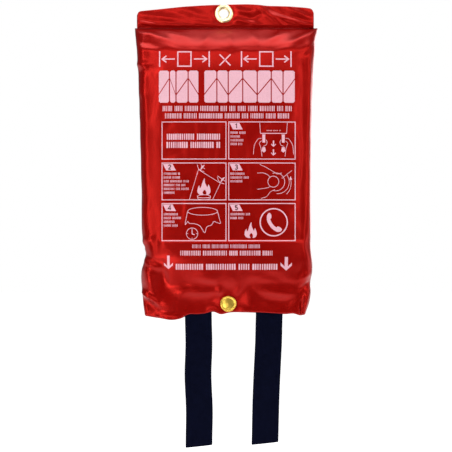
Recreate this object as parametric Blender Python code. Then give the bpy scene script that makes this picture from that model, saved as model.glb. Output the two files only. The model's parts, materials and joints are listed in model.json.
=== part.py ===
"""Fire blanket packed in a hanging pull-down pouch.

Metres, +Z up. The pouch's front faces -Y and its back lies on the wall, the plane y = 0.
The origin is the centre of the pouch's back face. Heights are given above the pouch's mouth.
"""

import math

import bmesh
import bpy
from mathutils import Vector

MM = 0.001

# Driving dimensions
SHEET = 0.6 * MM               # thickness of the PVC sheet
GAP = 0.3 * MM                 # air between neighbouring pieces
POUCH_DEPTH = 20 * MM          # wall to the front of the filled pouch
SEAM_HEIGHT = 262.5 * MM       # the sewn seam under the header
NOTCH_HEIGHT = 60 * MM         # below this the front sheet is free to open
MOUTH_Z = -131 * MM
MOUTH_DEPTH = 5 * MM           # wall to the front sheet at the closed mouth
LIP_WIDTH = 12 * MM            # strip of the front sheet welded to the back sheet
CORNER_RADIUS = 8 * MM
SHOULDER_HEIGHT = 238 * MM     # where the front starts to fall back to the seam
SEAM_CLEARANCE = 1.2 * MM      # from the fold line to the sheets above and below it

# Half the pouch's width at a few heights
SIDE_STATIONS = ((0, 73 * MM), (30 * MM, 76.5 * MM), (150 * MM, 77.5 * MM), (262.5 * MM, 83.2 * MM))

HEADER_HALF_WIDTH = 81.4 * MM
HEADER_SIDE_TOP = 278.3 * MM
HEADER_MIDDLE_TOP = 284.5 * MM
HEADER_CORNER = 4 * MM

EYELET_X = -1 * MM
EYELET_HEIGHT = 276 * MM
EYELET_OUTER = 8.5 * MM
EYELET_BORE = 4.3 * MM

STUD_X = 3 * MM
STUD_HEIGHT = 7.7 * MM
CAP_RADIUS = 7.5 * MM

BLANKET_WIDTH = 143 * MM       # 1 m in seven
BLANKET_BOTTOM = 70 * MM
BLANKET_TOP = 243 * MM
BLANKET_BACK = 4.2 * MM        # wall to the folded blanket
BLANKET_THICKNESS = 14 * MM
BLANKET_LEAVES = 6
LEAF_GAP = 0.35 * MM

STRAP_WIDTH = 25 * MM
STRAP_THICKNESS = 1.4 * MM
STRAP_BACK = 2.6 * MM          # wall to the strap
STRAP_TOP = 105 * MM
TAB_HINGE_HEIGHT = -4 * MM     # the straps bend here, just below the mouth
TAB_HINGE_CLEARANCE = 0.9 * MM
TABS = {                       # centre at the mouth, lean towards +X going down, length below the bend
    "left": (-24.7 * MM, math.radians(0.4), 122 * MM),
    "right": (40.9 * MM, math.radians(-2.0), 119 * MM),
}
BOX_STITCH = 20 * MM
BOX_STITCH_HEIGHT = 90 * MM
THREAD = 0.35 * MM

TURN_STEPS = 28
BLACK_NAVY, RED, BRASS = (0.02, 0.025, 0.05), (0.62, 0.02, 0.015), (0.78, 0.57, 0.22)
GLASS_CLOTH, SEWING_RED = (0.83, 0.81, 0.75), (0.45, 0.01, 0.01)


def z_of(height):
    return MOUTH_Z + height


def smoothstep(t):
    t = min(max(t, 0.0), 1.0)
    return t * t * (3 - 2 * t)


def half_width(height):
    """Half the pouch's width, straight between the stations."""
    for (low, a), (high, b) in zip(SIDE_STATIONS, SIDE_STATIONS[1:]):
        if height <= high:
            return a + (b - a) * max(height - low, 0) / (high - low)
    return SIDE_STATIONS[-1][1]


HEADER_FRONT = 3 * SHEET + 2 * GAP      # wall to the front of the header's two layers
HEADER_BACK = SHEET + GAP
FOLD_DEPTH = (HEADER_FRONT + HEADER_BACK) / 2


def front_depth(height):
    """Distance from the wall to the outside of the front sheet."""
    if height < NOTCH_HEIGHT:
        closing = smoothstep((NOTCH_HEIGHT - height) / NOTCH_HEIGHT)
        return POUCH_DEPTH - (POUCH_DEPTH - MOUTH_DEPTH) * closing
    if height < SHOULDER_HEIGHT:
        return POUCH_DEPTH
    seam = SEAM_HEIGHT - SEAM_CLEARANCE
    rise = math.sin(math.pi / 2 * max(seam - height, 0) / (seam - SHOULDER_HEIGHT))
    return HEADER_FRONT + (POUCH_DEPTH - HEADER_FRONT) * rise


STUD_DEPTH = front_depth(STUD_HEIGHT)
STUD_SLOPE = (front_depth(STUD_HEIGHT + MM) - front_depth(STUD_HEIGHT - MM)) / (2 * MM)
STUD_TILT = math.atan(STUD_SLOPE)


# ---- Blender helpers -------------------------------------------------------------------------

def clear_scene():
    for obj in list(bpy.data.objects):
        bpy.data.objects.remove(obj, do_unlink=True)


def material(name, colour, roughness, metallic=0.0):
    made = bpy.data.materials.new(name)
    made.use_nodes = True
    shader = made.node_tree.nodes["Principled BSDF"]
    shader.inputs["Base Color"].default_value = (*colour, 1)
    shader.inputs["Roughness"].default_value = roughness
    shader.inputs["Metallic"].default_value = metallic
    return made


def new_object(name, bm, finish):
    """A mesh object from bm, its normals facing out."""
    bmesh.ops.recalc_face_normals(bm, faces=bm.faces)
    mesh = bpy.data.meshes.new(name)
    bm.to_mesh(mesh)
    bm.free()
    obj = bpy.data.objects.new(name, mesh)
    bpy.context.scene.collection.objects.link(obj)
    if finish:
        mesh.materials.append(finish)
    return obj


def joint_empty(name, x=0.0, depth=0.0, height=0.0):
    """An empty on a joint's axis, which the joint's moving pieces are parented to."""
    empty = bpy.data.objects.new(name, None)
    empty.location = (x, -depth, z_of(height))
    empty.empty_display_size = 0.02
    bpy.context.scene.collection.objects.link(empty)
    return empty


def carry(empty, *pieces):
    bpy.context.view_layer.update()
    for piece in pieces:
        piece.parent = empty
        piece.matrix_parent_inverse = empty.matrix_world.inverted()


def as_cutter(obj):
    obj.hide_render = True
    obj.display_type = "WIRE"
    return obj


def boolean(obj, other, operation):
    modifier = obj.modifiers.new(other.name, "BOOLEAN")
    modifier.object = as_cutter(other)
    modifier.operation = operation


def extruded(name, outline, direction, finish):
    """A plate from a closed outline of points, pushed along direction."""
    bm = bmesh.new()
    face = bm.faces.new([bm.verts.new(point) for point in outline])
    made = bmesh.ops.extrude_face_region(bm, geom=[face])
    moved = [item for item in made["geom"] if isinstance(item, bmesh.types.BMVert)]
    bmesh.ops.translate(bm, verts=moved, vec=direction)
    return new_object(name, bm, finish)


def turned(name, profile, finish, steps=TURN_STEPS):
    """A solid turned about its Z axis from a closed profile of (radius, height) points."""
    bm = bmesh.new()
    verts = [bm.verts.new((radius, 0, along)) for radius, along in profile]
    edges = [
        bm.edges.new((a, b))
        for a, b in zip(verts, verts[1:] + verts[:1])
        if max(a.co.x, b.co.x) > 0
    ]
    bmesh.ops.spin(
        bm, geom=verts + edges, cent=(0, 0, 0), axis=(0, 0, 1), angle=2 * math.pi, steps=steps
    )
    bmesh.ops.remove_doubles(bm, verts=bm.verts, dist=1e-6)
    obj = new_object(name, bm, finish)
    obj.data.shade_smooth()
    obj.data.set_sharp_from_angle(angle=math.radians(35))
    return obj


def cylinder(name, radius, low, high):
    return turned(name, [(0, low), (radius, low), (radius, high), (0, high)], None)


def facing_front(obj, x, depth, height, tilt=0.0):
    """Puts a turned piece with its axis pointing forwards, tilted down by tilt."""
    obj.location = (x, -depth, z_of(height))
    obj.rotation_euler = (math.pi / 2 + tilt, 0, 0)
    return obj


def arc(centre, radius, start, end, steps):
    """Points in a plane, from angle start to angle end in degrees."""
    angles = [math.radians(start + (end - start) * i / steps) for i in range(steps + 1)]
    return [(centre[0] + radius * math.cos(a), centre[1] + radius * math.sin(a)) for a in angles]


# ---- Front sheet -----------------------------------------------------------------------------

def sheet_section(height, lip):
    """The wrapped front sheet at one height: pairs of an outer and an inner (x, y) point."""
    width, depth = half_width(height), front_depth(height)
    back = -(SHEET + GAP)
    radius = min(CORNER_RADIUS, 0.8 * (depth - SHEET - GAP))
    centre = (width - radius, radius - depth)
    right = list(zip(arc(centre, radius, -90, 0, 5), arc(centre, radius - SHEET, -90, 0, 5)))
    if lip:
        right.append(((width, back), (width - SHEET, back - SHEET)))
        right.append(((width - lip, back), (width - lip, back - SHEET)))
    else:
        right.append(((width, back), (width - SHEET, back)))
    left = [tuple((-x, y) for x, y in pair) for pair in reversed(right)]
    return left + right


def lofted_sheet(name, heights, lip, finish):
    """A wrapped sheet through its sections, closed along its edges."""
    bm = bmesh.new()
    levels = []
    for height in heights:
        pairs = sheet_section(height, lip)
        levels.append([[bm.verts.new((x, y, z_of(height))) for x, y in side] for side in zip(*pairs)])
    for (low_out, low_in), (high_out, high_in) in zip(levels, levels[1:]):
        join(bm, low_out, high_out)
        join(bm, low_in, high_in)
    for outer, inner in (levels[0], levels[-1]):
        join(bm, outer, inner)
    for end in (0, -1):
        join(bm, [outer[end] for outer, _ in levels], [inner[end] for _, inner in levels])
    obj = new_object(name, bm, finish)
    obj.data.shade_smooth()
    obj.data.set_sharp_from_angle(angle=math.radians(30))
    return obj


def join(bm, one, other):
    """A strip of faces between two rows of points."""
    for a, b, c, d in zip(one, one[1:], other[1:], other):
        bm.faces.new((a, b, c, d))


def ring_edges(bm, ring):
    pairs = zip(ring, ring[1:] + ring[:1])
    return [bm.edges.get(pair) or bm.edges.new(pair) for pair in pairs]


def steps_between(low, high, count):
    return [low + (high - low) * i / count for i in range(count + 1)]


def front_panel(finish):
    straight = steps_between(NOTCH_HEIGHT + GAP, SHOULDER_HEIGHT, 3)
    shoulder = steps_between(SHOULDER_HEIGHT, SEAM_HEIGHT - SEAM_CLEARANCE, 6)
    return lofted_sheet("front_panel", straight + shoulder[1:], LIP_WIDTH, finish)


def mouth_flap(finish):
    """The free lower part of the front sheet, with the press stud's hole."""
    flap = lofted_sheet("mouth_flap", steps_between(0, NOTCH_HEIGHT - GAP, 10), 0, finish)
    hole = cylinder("flap_hole", 1.7 * MM, -3 * MM, 3 * MM)
    boolean(flap, at_stud(hole), "DIFFERENCE")
    return flap


# ---- Back sheet ------------------------------------------------------------------------------

def back_outline():
    """The back sheet's outline on the wall, rounded at the mouth's two corners."""
    inset = 0.5 * MM
    corner = 6 * MM
    top = SEAM_HEIGHT - SEAM_CLEARANCE
    bottom_width = half_width(0) - inset
    right = arc((bottom_width - corner, corner), corner, -90, 0, 5)
    right += [(width - inset, height) for height, width in SIDE_STATIONS[1:-1]]
    right.append((half_width(top) - inset, top))
    left = [(-x, height) for x, height in reversed(right)]
    return [(x, 0, z_of(height)) for x, height in right + left]


def back_panel(finish):
    """The back sheet, drawn forwards around the male stud to leave room for its post."""
    panel = extruded("back_panel", back_outline(), (0, -SHEET, 0), finish)
    boss_top, floor = -4.1 * MM, 0.35 * MM
    boss = at_stud(cylinder("stud_boss", 5.4 * MM, -8 * MM, boss_top))
    keep = box("boss_limit", (-20, -20, 0), (20, -0.3, 20))
    keep.location = (STUD_X, 0, z_of(STUD_HEIGHT) - 10 * MM)
    boolean(boss, keep, "INTERSECT")
    boolean(panel, boss, "UNION")
    recess = cylinder("post_recess", 4.3 * MM, -20 * MM, boss_top - floor)
    boolean(panel, at_stud(recess), "DIFFERENCE")
    boolean(panel, at_stud(cylinder("post_hole", 1.3 * MM, -20 * MM, 0)), "DIFFERENCE")
    return panel


def box(name, low, high, finish=None):
    """A box from two corners in millimetres."""
    bm = bmesh.new()
    bmesh.ops.create_cube(bm, size=MM)
    size = [b - a for a, b in zip(low, high)]
    middle = [(a + b) / 2 * MM for a, b in zip(low, high)]
    bmesh.ops.scale(bm, verts=bm.verts, vec=size)
    bmesh.ops.translate(bm, verts=bm.verts, vec=middle)
    return new_object(name, bm, finish)


# ---- Press stud ------------------------------------------------------------------------------

def at_stud(obj):
    """Places a turned piece on the stud's axis, height 0 being the outside of the flap."""
    return facing_front(obj, STUD_X, STUD_DEPTH, STUD_HEIGHT, STUD_TILT)


def in_mm(points):
    return [(radius * MM, along * MM) for radius, along in points]


def stud_cap(finish):
    edge = CAP_RADIUS / MM
    profile = [
        (0, -1.3), (1.3, -1.3), (1.3, 0.25), (4, 0.4), (edge - 0.6, 0.9), (edge - 0.1, 0.95),
        (edge, 1.25), (edge - 0.4, 1.75), (edge - 1.9, 2.3), (3, 2.65), (0, 2.8),
    ]
    return at_stud(turned("press_stud_cap", in_mm(profile), finish))


def stud_socket(finish):
    profile = [
        (1.6, -0.9), (5, -0.9), (5.5, -1.2), (5.5, -2.9), (3.6, -2.9), (3.6, -1.4), (1.6, -1.4),
    ]
    return at_stud(turned("press_stud_socket", in_mm(profile), finish))


def stud_spring(finish):
    return at_stud(turned("press_stud_spring", arc((3.05 * MM, -2.4 * MM), 0.25 * MM, 0, 300, 5), finish))


def stud_male(finish):
    profile = [
        (1.2, -3.8), (4.8, -3.8), (4.8, -3.4), (1.7, -3.3), (1.7, -2.8), (2.0, -2.3), (1.2, -1.85),
        (0, -1.85), (0, -2.2), (1.2, -2.2),
    ]
    return at_stud(turned("press_stud_male", in_mm(profile), finish))


def stud_post(finish):
    profile = [(0, -5.0), (4.0, -5.0), (4.0, -4.65), (0.95, -4.65), (0.95, -2.6), (0, -2.6)]
    return at_stud(turned("press_stud_post", in_mm(profile), finish))


# ---- Header ----------------------------------------------------------------------------------

def header_outline(depth):
    """Arched top, rounded upper corners and a straight lower edge on the seam."""
    rise = HEADER_MIDDLE_TOP - HEADER_SIDE_TOP
    chord = HEADER_HALF_WIDTH - HEADER_CORNER
    arch = (chord * chord + rise * rise) / (2 * rise)
    half_angle = math.degrees(math.asin(chord / arch))
    top = arc((0, HEADER_MIDDLE_TOP - arch), arch, 90 - half_angle, 90, 6)
    corner_centre = (chord, HEADER_SIDE_TOP - HEADER_CORNER)
    corner = arc(corner_centre, HEADER_CORNER, 0, 90 - half_angle, 4)
    right = [(HEADER_HALF_WIDTH, SEAM_HEIGHT + SEAM_CLEARANCE), *corner, *top]
    left = [(-x, height) for x, height in reversed(right[:-1])]
    return [(x, -depth, z_of(height)) for x, height in right + left]


def header_layer(name, depth, finish):
    layer = extruded(name, header_outline(depth), (0, -SHEET, 0), finish)
    hole = cylinder(name + "_hole", EYELET_BORE + MM, -5 * MM, 15 * MM)
    boolean(layer, facing_front(hole, EYELET_X, 0, EYELET_HEIGHT), "DIFFERENCE")
    return layer


def eyelet_face(finish):
    """Domed flange and barrel, from the front through both layers."""
    inner, outer, under = EYELET_BORE, EYELET_OUTER, HEADER_FRONT + GAP
    profile = [
        (inner, 0.1 * MM), (inner + SHEET, 0.1 * MM), (inner + SHEET, under), (outer - 0.5 * MM, under),
        (outer, under + 0.2 * MM), (outer - 0.3 * MM, under + 0.6 * MM), (7 * MM, under + 0.95 * MM),
        (5.6 * MM, under + 0.9 * MM), (4.7 * MM, under + 0.5 * MM), (inner, under),
    ]
    return facing_front(turned("eyelet_face", profile, finish), EYELET_X, 0, EYELET_HEIGHT)


def eyelet_washer(finish):
    inner, outer = EYELET_BORE + SHEET + GAP, EYELET_OUTER
    profile = [
        (inner, 0), (outer, 0), (outer, 0.4 * MM), (outer - 0.3 * MM, SHEET), (inner, SHEET),
    ]
    return facing_front(turned("eyelet_washer", profile, finish), EYELET_X, 0, EYELET_HEIGHT)


def seam_thread(finish):
    """One row of stitches along the fold, weaving from front to back."""
    pitch, reach, half_length = 2.3 * MM, 0.6 * MM, 80 * MM
    curve = bpy.data.curves.new("header_seam_thread", "CURVE")
    curve.dimensions = "3D"
    curve.bevel_depth = THREAD
    curve.bevel_resolution = 0
    curve.use_fill_caps = True
    count = int(2 * half_length / (pitch / 2))
    spline = curve.splines.new("POLY")
    spline.points.add(count)
    for i, point in enumerate(spline.points):
        side = reach if i % 4 < 2 else -reach
        x = -half_length + i * pitch / 2
        point.co = (x, -FOLD_DEPTH + side, z_of(SEAM_HEIGHT), 1)
    curve.materials.append(finish)
    thread = bpy.data.objects.new("header_seam_thread", curve)
    bpy.context.scene.collection.objects.link(thread)
    return thread


# ---- Blanket and straps ----------------------------------------------------------------------

def blanket_section():
    """Closed outline of the zigzag pack in the plane across its width, as (y, z) points."""
    pitch = BLANKET_THICKNESS / BLANKET_LEAVES
    leaf = pitch - LEAF_GAP
    outer, inner = (pitch + leaf) / 2, (pitch - leaf) / 2
    low, high = z_of(BLANKET_BOTTOM) + outer, z_of(BLANKET_TOP) - outer
    back = -BLANKET_BACK - LEAF_GAP / 2
    one_side, other_side = [(back, high)], [(back - leaf, high)]
    for fold in range(BLANKET_LEAVES - 1):
        centre_y = back - leaf / 2 - pitch * (fold + 0.5)
        at_bottom = fold % 2 == 0
        end, turn = (low, -180) if at_bottom else (high, 180)
        outside = arc((centre_y, end), outer, 0, turn, 6)
        inside = arc((centre_y, end), inner, 0, turn, 3)
        one_side += outside if at_bottom else inside
        other_side += inside if at_bottom else outside
    last = high if BLANKET_LEAVES % 2 == 0 else low
    one_side.append((one_side[-1][0], last))
    other_side.append((other_side[-1][0], last))
    return one_side + other_side[::-1]


def blanket(finish):
    half = BLANKET_WIDTH / 2
    outline = [(-half, y, z) for y, z in blanket_section()]
    return extruded("blanket", outline, (BLANKET_WIDTH, 0, 0), finish)


def strap(name, x, top, bottom, finish):
    """A flat length of webbing between two heights, with slightly rounded corners."""
    half, corner = STRAP_WIDTH / 2, 1 * MM
    right = arc((half - corner, bottom + corner), corner, -90, 0, 3)
    right += arc((half - corner, top - corner), corner, 0, 90, 3)
    left = [(-a, b) for a, b in reversed(right)]
    outline = [(a, 0, b) for a, b in right + left]
    piece = extruded(name, outline, (0, -STRAP_THICKNESS, 0), finish)
    piece.location = (x, -STRAP_BACK, MOUTH_Z)
    return piece


def strap_root(side, finish):
    x = TABS[side][0]
    bottom = TAB_HINGE_HEIGHT + TAB_HINGE_CLEARANCE
    return strap(side + "_strap_root", x, STRAP_TOP, bottom, finish)


def pull_tab(side, finish):
    x, lean, length = TABS[side]
    tab = strap(side + "_pull_tab", x, -TAB_HINGE_CLEARANCE, -length, finish)
    tab.location.z = z_of(TAB_HINGE_HEIGHT)
    tab.rotation_euler.y = -lean
    return tab


def box_stitching(side, finish):
    """Box-and-cross sewing that holds a strap on the blanket."""
    name = side + "_strap_stitching"
    half, wide = BOX_STITCH / 2, 2 * THREAD
    bm = bmesh.new()
    corners = [(-1, -1), (1, -1), (1, 1), (-1, 1)]
    outer = [bm.verts.new((a * half, 0, b * half)) for a, b in corners]
    inner = [bm.verts.new((a * (half - wide), 0, b * (half - wide))) for a, b in corners]
    bridged = bmesh.ops.bridge_loops(bm, edges=ring_edges(bm, outer) + ring_edges(bm, inner))
    made = bmesh.ops.extrude_face_region(bm, geom=bridged["faces"])
    moved = [item for item in made["geom"] if isinstance(item, bmesh.types.BMVert)]
    bmesh.ops.translate(bm, verts=moved, vec=(0, wide, 0))
    frame = new_object(name, bm, finish)
    place = Vector((TABS[side][0], -STRAP_BACK + 0.1 * MM, z_of(BOX_STITCH_HEIGHT)))
    frame.location = place
    reach = (math.sqrt(2) * (half - wide / 2)) / MM
    for turn in (45, -45):
        bar = box(f"{name}_{turn}", (-reach, 0.05, -THREAD / MM), (reach, wide / MM - 0.05, THREAD / MM))
        bar.location = place
        bar.rotation_euler.y = math.radians(turn)
        boolean(frame, bar, "UNION")
    return frame


# ---- Assembly --------------------------------------------------------------------------------

def build():
    clear_scene()
    red = material("red_pvc", RED, 0.28)
    brass = material("brass", BRASS, 0.3, 1.0)
    navy = material("navy_webbing", BLACK_NAVY, 0.85)
    cloth = material("glass_cloth", GLASS_CLOTH, 0.7)
    thread = material("sewing_thread", SEWING_RED, 0.7)

    back_panel(red)
    front_panel(red)
    seam_thread(thread)
    stud_male(brass)
    stud_post(brass)

    header = joint_empty("header_fold_axis", depth=FOLD_DEPTH, height=SEAM_HEIGHT)
    carry(
        header,
        header_layer("header_back_layer", HEADER_BACK, red),
        header_layer("header_front_layer", HEADER_FRONT - SHEET, red),
        eyelet_face(brass),
        eyelet_washer(brass),
    )

    hinge = joint_empty("mouth_flap_axis", depth=POUCH_DEPTH, height=NOTCH_HEIGHT)
    carry(hinge, mouth_flap(red), stud_cap(brass), stud_socket(brass), stud_spring(brass))

    slide = joint_empty("blanket_slide_axis", depth=BLANKET_BACK, height=BLANKET_BOTTOM)
    carry(slide, blanket(cloth))
    for side, (x, _, _) in TABS.items():
        carry(slide, strap_root(side, navy), box_stitching(side, thread))
        swing_depth = STRAP_BACK + STRAP_THICKNESS / 2
        swing = joint_empty(side + "_tab_axis", x, swing_depth, TAB_HINGE_HEIGHT)
        carry(swing, pull_tab(side, navy))
        carry(slide, swing)


build()
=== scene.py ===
"""Fire blanket in its hanging pouch: the visible surfaces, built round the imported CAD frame.

Lengths are in metres. Heights are measured up from the pouch's mouth, and widths from its middle.
"""

import json
import math

import bmesh
import bpy
import numpy as np
from mathutils import Matrix, Vector, geometry, noise
from mathutils.bvhtree import BVHTree


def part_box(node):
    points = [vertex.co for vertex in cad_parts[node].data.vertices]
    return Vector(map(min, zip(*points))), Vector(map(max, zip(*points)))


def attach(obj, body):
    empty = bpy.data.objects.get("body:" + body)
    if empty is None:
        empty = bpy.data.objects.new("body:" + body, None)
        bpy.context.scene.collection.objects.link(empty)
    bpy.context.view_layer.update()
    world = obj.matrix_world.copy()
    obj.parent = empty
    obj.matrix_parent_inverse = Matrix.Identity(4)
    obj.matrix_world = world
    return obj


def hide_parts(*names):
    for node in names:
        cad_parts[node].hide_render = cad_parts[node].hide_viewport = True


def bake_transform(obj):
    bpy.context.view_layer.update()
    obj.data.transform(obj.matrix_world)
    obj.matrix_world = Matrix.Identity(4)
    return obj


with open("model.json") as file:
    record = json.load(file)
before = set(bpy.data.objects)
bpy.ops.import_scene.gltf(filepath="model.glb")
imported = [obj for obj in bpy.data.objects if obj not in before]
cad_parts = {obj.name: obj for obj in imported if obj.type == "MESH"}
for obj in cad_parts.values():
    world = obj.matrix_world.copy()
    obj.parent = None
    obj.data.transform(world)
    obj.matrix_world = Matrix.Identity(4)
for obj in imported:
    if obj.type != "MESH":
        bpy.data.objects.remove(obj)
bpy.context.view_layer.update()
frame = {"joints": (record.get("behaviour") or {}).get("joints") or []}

MM = 0.001
JOINTS = {joint["name"]: joint for joint in frame["joints"]}

# Places that come from the frame
MOUTH_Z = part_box("mouth_flap")[0].z
FLAP_AXIS = Vector(JOINTS["mouth_flap_hinge"]["pos_m"])
FOLD_AXIS = Vector(JOINTS["header_fold"]["pos_m"])
POUCH_DEPTH = -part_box("front_panel")[0].y
SEAM = FOLD_AXIS.z - MOUTH_Z
NOTCH = FLAP_AXIS.z - MOUTH_Z
SHEET = 0.6 * MM


def at_height(height):
    """The Z of a height above the mouth."""
    return MOUTH_Z + height


def smooth(t):
    """Eased from 0 to 1 as t goes from 0 to 1."""
    t = np.clip(t, 0.0, 1.0)
    return t * t * (3 - 2 * t)


def ramp(length, start, end):
    """Eased from 0 to 1 as a length in metres goes from start to end, in millimetres."""
    return smooth((length / MM - start) / (end - start))


def through(stations, x):
    """A smooth curve through (position, value) stations, both in millimetres."""
    xs, values = np.array(stations, float).T * MM
    cell = np.clip(np.searchsorted(xs, x) - 1, 0, len(xs) - 2)
    slopes = np.gradient(values, xs)
    width = xs[cell + 1] - xs[cell]
    t = np.clip((x - xs[cell]) / width, 0, 1)
    a, b = values[cell], values[cell + 1]
    rise = (2 * t**3 - 3 * t**2 + 1) * a + (3 * t**2 - 2 * t**3) * b
    return rise + width * ((t**3 - 2 * t**2 + t) * slopes[cell] + (t**3 - t**2) * slopes[cell + 1])


# ---- Node materials --------------------------------------------------------------------------

RIB_PITCH = 1.05 * MM
WARP_PITCH = 0.55 * MM
WEAVE_PITCH = 0.8 * MM
HEM_WIDTH = 10 * MM
HEM_STITCH = 3.4 * MM


class Nodes:
    """A short way to write the nodes of a new material, or of the world."""

    def __init__(self, owner, last="Principled BSDF"):
        self.owner = bpy.data.materials.new(owner) if isinstance(owner, str) else owner
        self.owner.use_nodes = True
        self.tree = self.owner.node_tree
        self.last = self.tree.nodes[last]

    def add(self, kind, inputs=None, **settings):
        node = self.tree.nodes.new("ShaderNode" + kind)
        for key, value in settings.items():
            setattr(node, key, value)
        for key, value in (inputs or {}).items():
            self.put(node, key, value)
        return node

    def put(self, node, key, value):
        socket = node.inputs[key]
        if isinstance(value, bpy.types.NodeSocket):
            self.tree.links.new(value, socket)
        else:
            socket.default_value = value

    def coordinates(self):
        return self.add("TexCoord").outputs["Object"]

    def noise(self, scale, detail=3.0, rough=0.5, at=None):
        inputs = {"Scale": scale, "Detail": detail, "Roughness": rough}
        return self.add("TexNoise", {"Vector": at or self.coordinates(), **inputs}).outputs["Fac"]

    def spread(self, value, low, high, from_low=0.0, from_high=1.0):
        inputs = {"Value": value, 1: from_low, 2: from_high, 3: low, 4: high}
        return self.add("MapRange", inputs).outputs[0]

    def mix(self, factor, a, b):
        node = self.add("Mix", data_type="RGBA")
        self.put(node, "Factor", factor)
        self.put(node, 6, a)
        self.put(node, 7, b)
        return node.outputs[2]

    def math(self, operation, a, b=0.0):
        return self.add("Math", {0: a, 1: b}, operation=operation).outputs[0]

    def bump(self, height, strength, distance, below=None):
        inputs = {"Height": height, "Strength": strength, "Distance": distance}
        if below:
            inputs["Normal"] = below
        return self.add("Bump", inputs).outputs["Normal"]

    def wave(self, along, pitch):
        """A sine along a coordinate, one turn in each pitch."""
        return self.math("SINE", self.math("MULTIPLY", along, 2 * math.pi / pitch))

    def finish(self, **inputs):
        """Sets the inputs of the last node, and gives back the material or world."""
        for key, value in inputs.items():
            self.put(self.last, key.replace("_", " "), value)
        return self.owner


def rgb(*display):
    """A colour from its red, green and blue display values, 0 to 255."""
    shares = [value / 255 for value in display]
    return (*[s / 12.92 if s < 0.0404 else ((s + 0.055) / 1.055) ** 2.4 for s in shares], 1)


def pvc_material():
    """Soft glossy PVC: faint mottling, fine orange peel and a slow waviness in its reflections."""
    n = Nodes("pvc_sheet")
    cloudy = n.noise(28, 4, 0.55)
    colour = n.mix(n.spread(cloudy, 0, 1, 0.3, 0.7), rgb(104, 2, 1), rgb(113, 3, 2))
    rough = n.spread(n.noise(45, 3, 0.6), 0.285, 0.36, 0.3, 0.7)
    waves = n.bump(n.noise(60, 2, 0.5), 0.07, 0.001)
    peel = n.bump(n.noise(1900, 2, 0.6), 0.12, 0.00006, waves)
    return n.finish(
        Base_Color=colour, Roughness=rough, Normal=peel, IOR=1.7, Specular_IOR_Level=1.0,
        Specular_Tint=(1.0, 0.04, 0.03, 1),
    )


def ink_material(name, fresh, worn, roughness, low=0.0, high=1.0):
    """Finely speckled ink, worn where its noise runs from low to high."""
    n = Nodes(name)
    speckle = n.noise(900, 3, 0.7)
    colour = n.mix(n.spread(speckle, 0, 1, low, high), fresh, worn)
    return n.finish(Base_Color=colour, Roughness=roughness, Normal=n.bump(speckle, 0.1, 0.00005))


def webbing_material():
    """Navy webbing: a rib every millimetre, crossed by fine warp threads."""
    n = Nodes("navy_webbing")
    place = n.add("SeparateXYZ", {"Vector": n.coordinates()})
    ribs = n.wave(place.outputs["Z"], RIB_PITCH)
    warp = n.wave(place.outputs["X"], WARP_PITCH)
    weave = n.math("MULTIPLY", n.math("ABSOLUTE", ribs), n.math("ABSOLUTE", warp))
    wear = n.noise(160, 4, 0.6)
    dark = n.mix(n.spread(wear, 0, 1, 0.3, 0.75), rgb(1, 2, 13), rgb(3, 5, 21))
    colour = n.mix(n.spread(weave, 0, 0.55), dark, rgb(6, 9, 34))
    normal = n.bump(weave, 0.6, 0.00018, n.bump(n.noise(2600, 2, 0.6), 0.3, 0.0001))
    return n.finish(Base_Color=colour, Roughness=0.85, Normal=normal, Specular_IOR_Level=0.04)


def cloth_material():
    """Plain-woven glass cloth, off-white, with a slight glassy sheen and a sewn hem at each side."""
    n = Nodes("glass_cloth")
    place = n.add("SeparateXYZ", {"Vector": n.coordinates()})
    weave = n.math(
        "MULTIPLY", n.wave(place.outputs["X"], WEAVE_PITCH), n.wave(place.outputs["Z"], WEAVE_PITCH)
    )
    stain = n.noise(35, 3, 0.5)
    base = n.mix(n.spread(stain, 0, 1, 0.35, 0.7), rgb(198, 194, 178), rgb(184, 178, 160))
    woven = n.mix(n.spread(weave, 0, 0.5, -1, 1), base, rgb(160, 154, 136))
    low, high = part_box("blanket")
    hem_line = (high.x - low.x) / 2 - HEM_WIDTH
    from_hem = n.math("ABSOLUTE", n.math("SUBTRACT", n.math("ABSOLUTE", place.outputs["X"]), hem_line))
    row = n.math("LESS_THAN", from_hem, 0.45 * MM)
    sewn = n.math("GREATER_THAN", n.wave(place.outputs["Z"], HEM_STITCH), -0.4)
    stitch = n.math("MULTIPLY", row, sewn)
    colour = n.mix(stitch, woven, rgb(118, 110, 92))
    folded_edge = n.spread(from_hem, 0, 1, 0.0, 1.2 * MM)
    normal = n.bump(folded_edge, 0.5, 0.0006, n.bump(weave, 0.5, 0.00015))
    return n.finish(
        Base_Color=colour, Roughness=0.55, Normal=normal, Sheen_Weight=0.2, Specular_IOR_Level=0.4,
    )


def brass_material(name, bright, dull, roughness):
    """Stamped brass: fine scratches, and darker where handling has left a film."""
    n = Nodes(name)
    film = n.noise(420, 4, 0.6)
    scratches = n.noise(2800, 2, 0.5)
    colour = n.mix(n.spread(film, 0, 1, 0.35, 0.75), bright, dull)
    rough = n.spread(scratches, roughness - 0.06, roughness + 0.1, 0.3, 0.7)
    return n.finish(
        Base_Color=colour, Metallic=1.0, Roughness=rough, Normal=n.bump(scratches, 0.15, 0.00003)
    )


def thread_material():
    n = Nodes("sewing_thread")
    twist = n.noise(3500, 2, 0.5)
    colour = n.mix(twist, rgb(176, 18, 16), rgb(140, 10, 10))
    return n.finish(Base_Color=colour, Roughness=0.7, Normal=n.bump(twist, 0.4, 0.00005))


# ---- Mesh helpers ----------------------------------------------------------------------------

def new_object(name, mesh, material):
    obj = bpy.data.objects.new(name, mesh)
    bpy.context.scene.collection.objects.link(obj)
    mesh.materials.clear()
    mesh.materials.append(material)
    return obj


def new_piece(name, mesh, material, slot, *nodes):
    """A smooth piece that stands for the named CAD nodes."""
    obj = new_object(name, mesh, material)
    mesh.shade_smooth()
    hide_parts(*nodes)
    return obj


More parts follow.
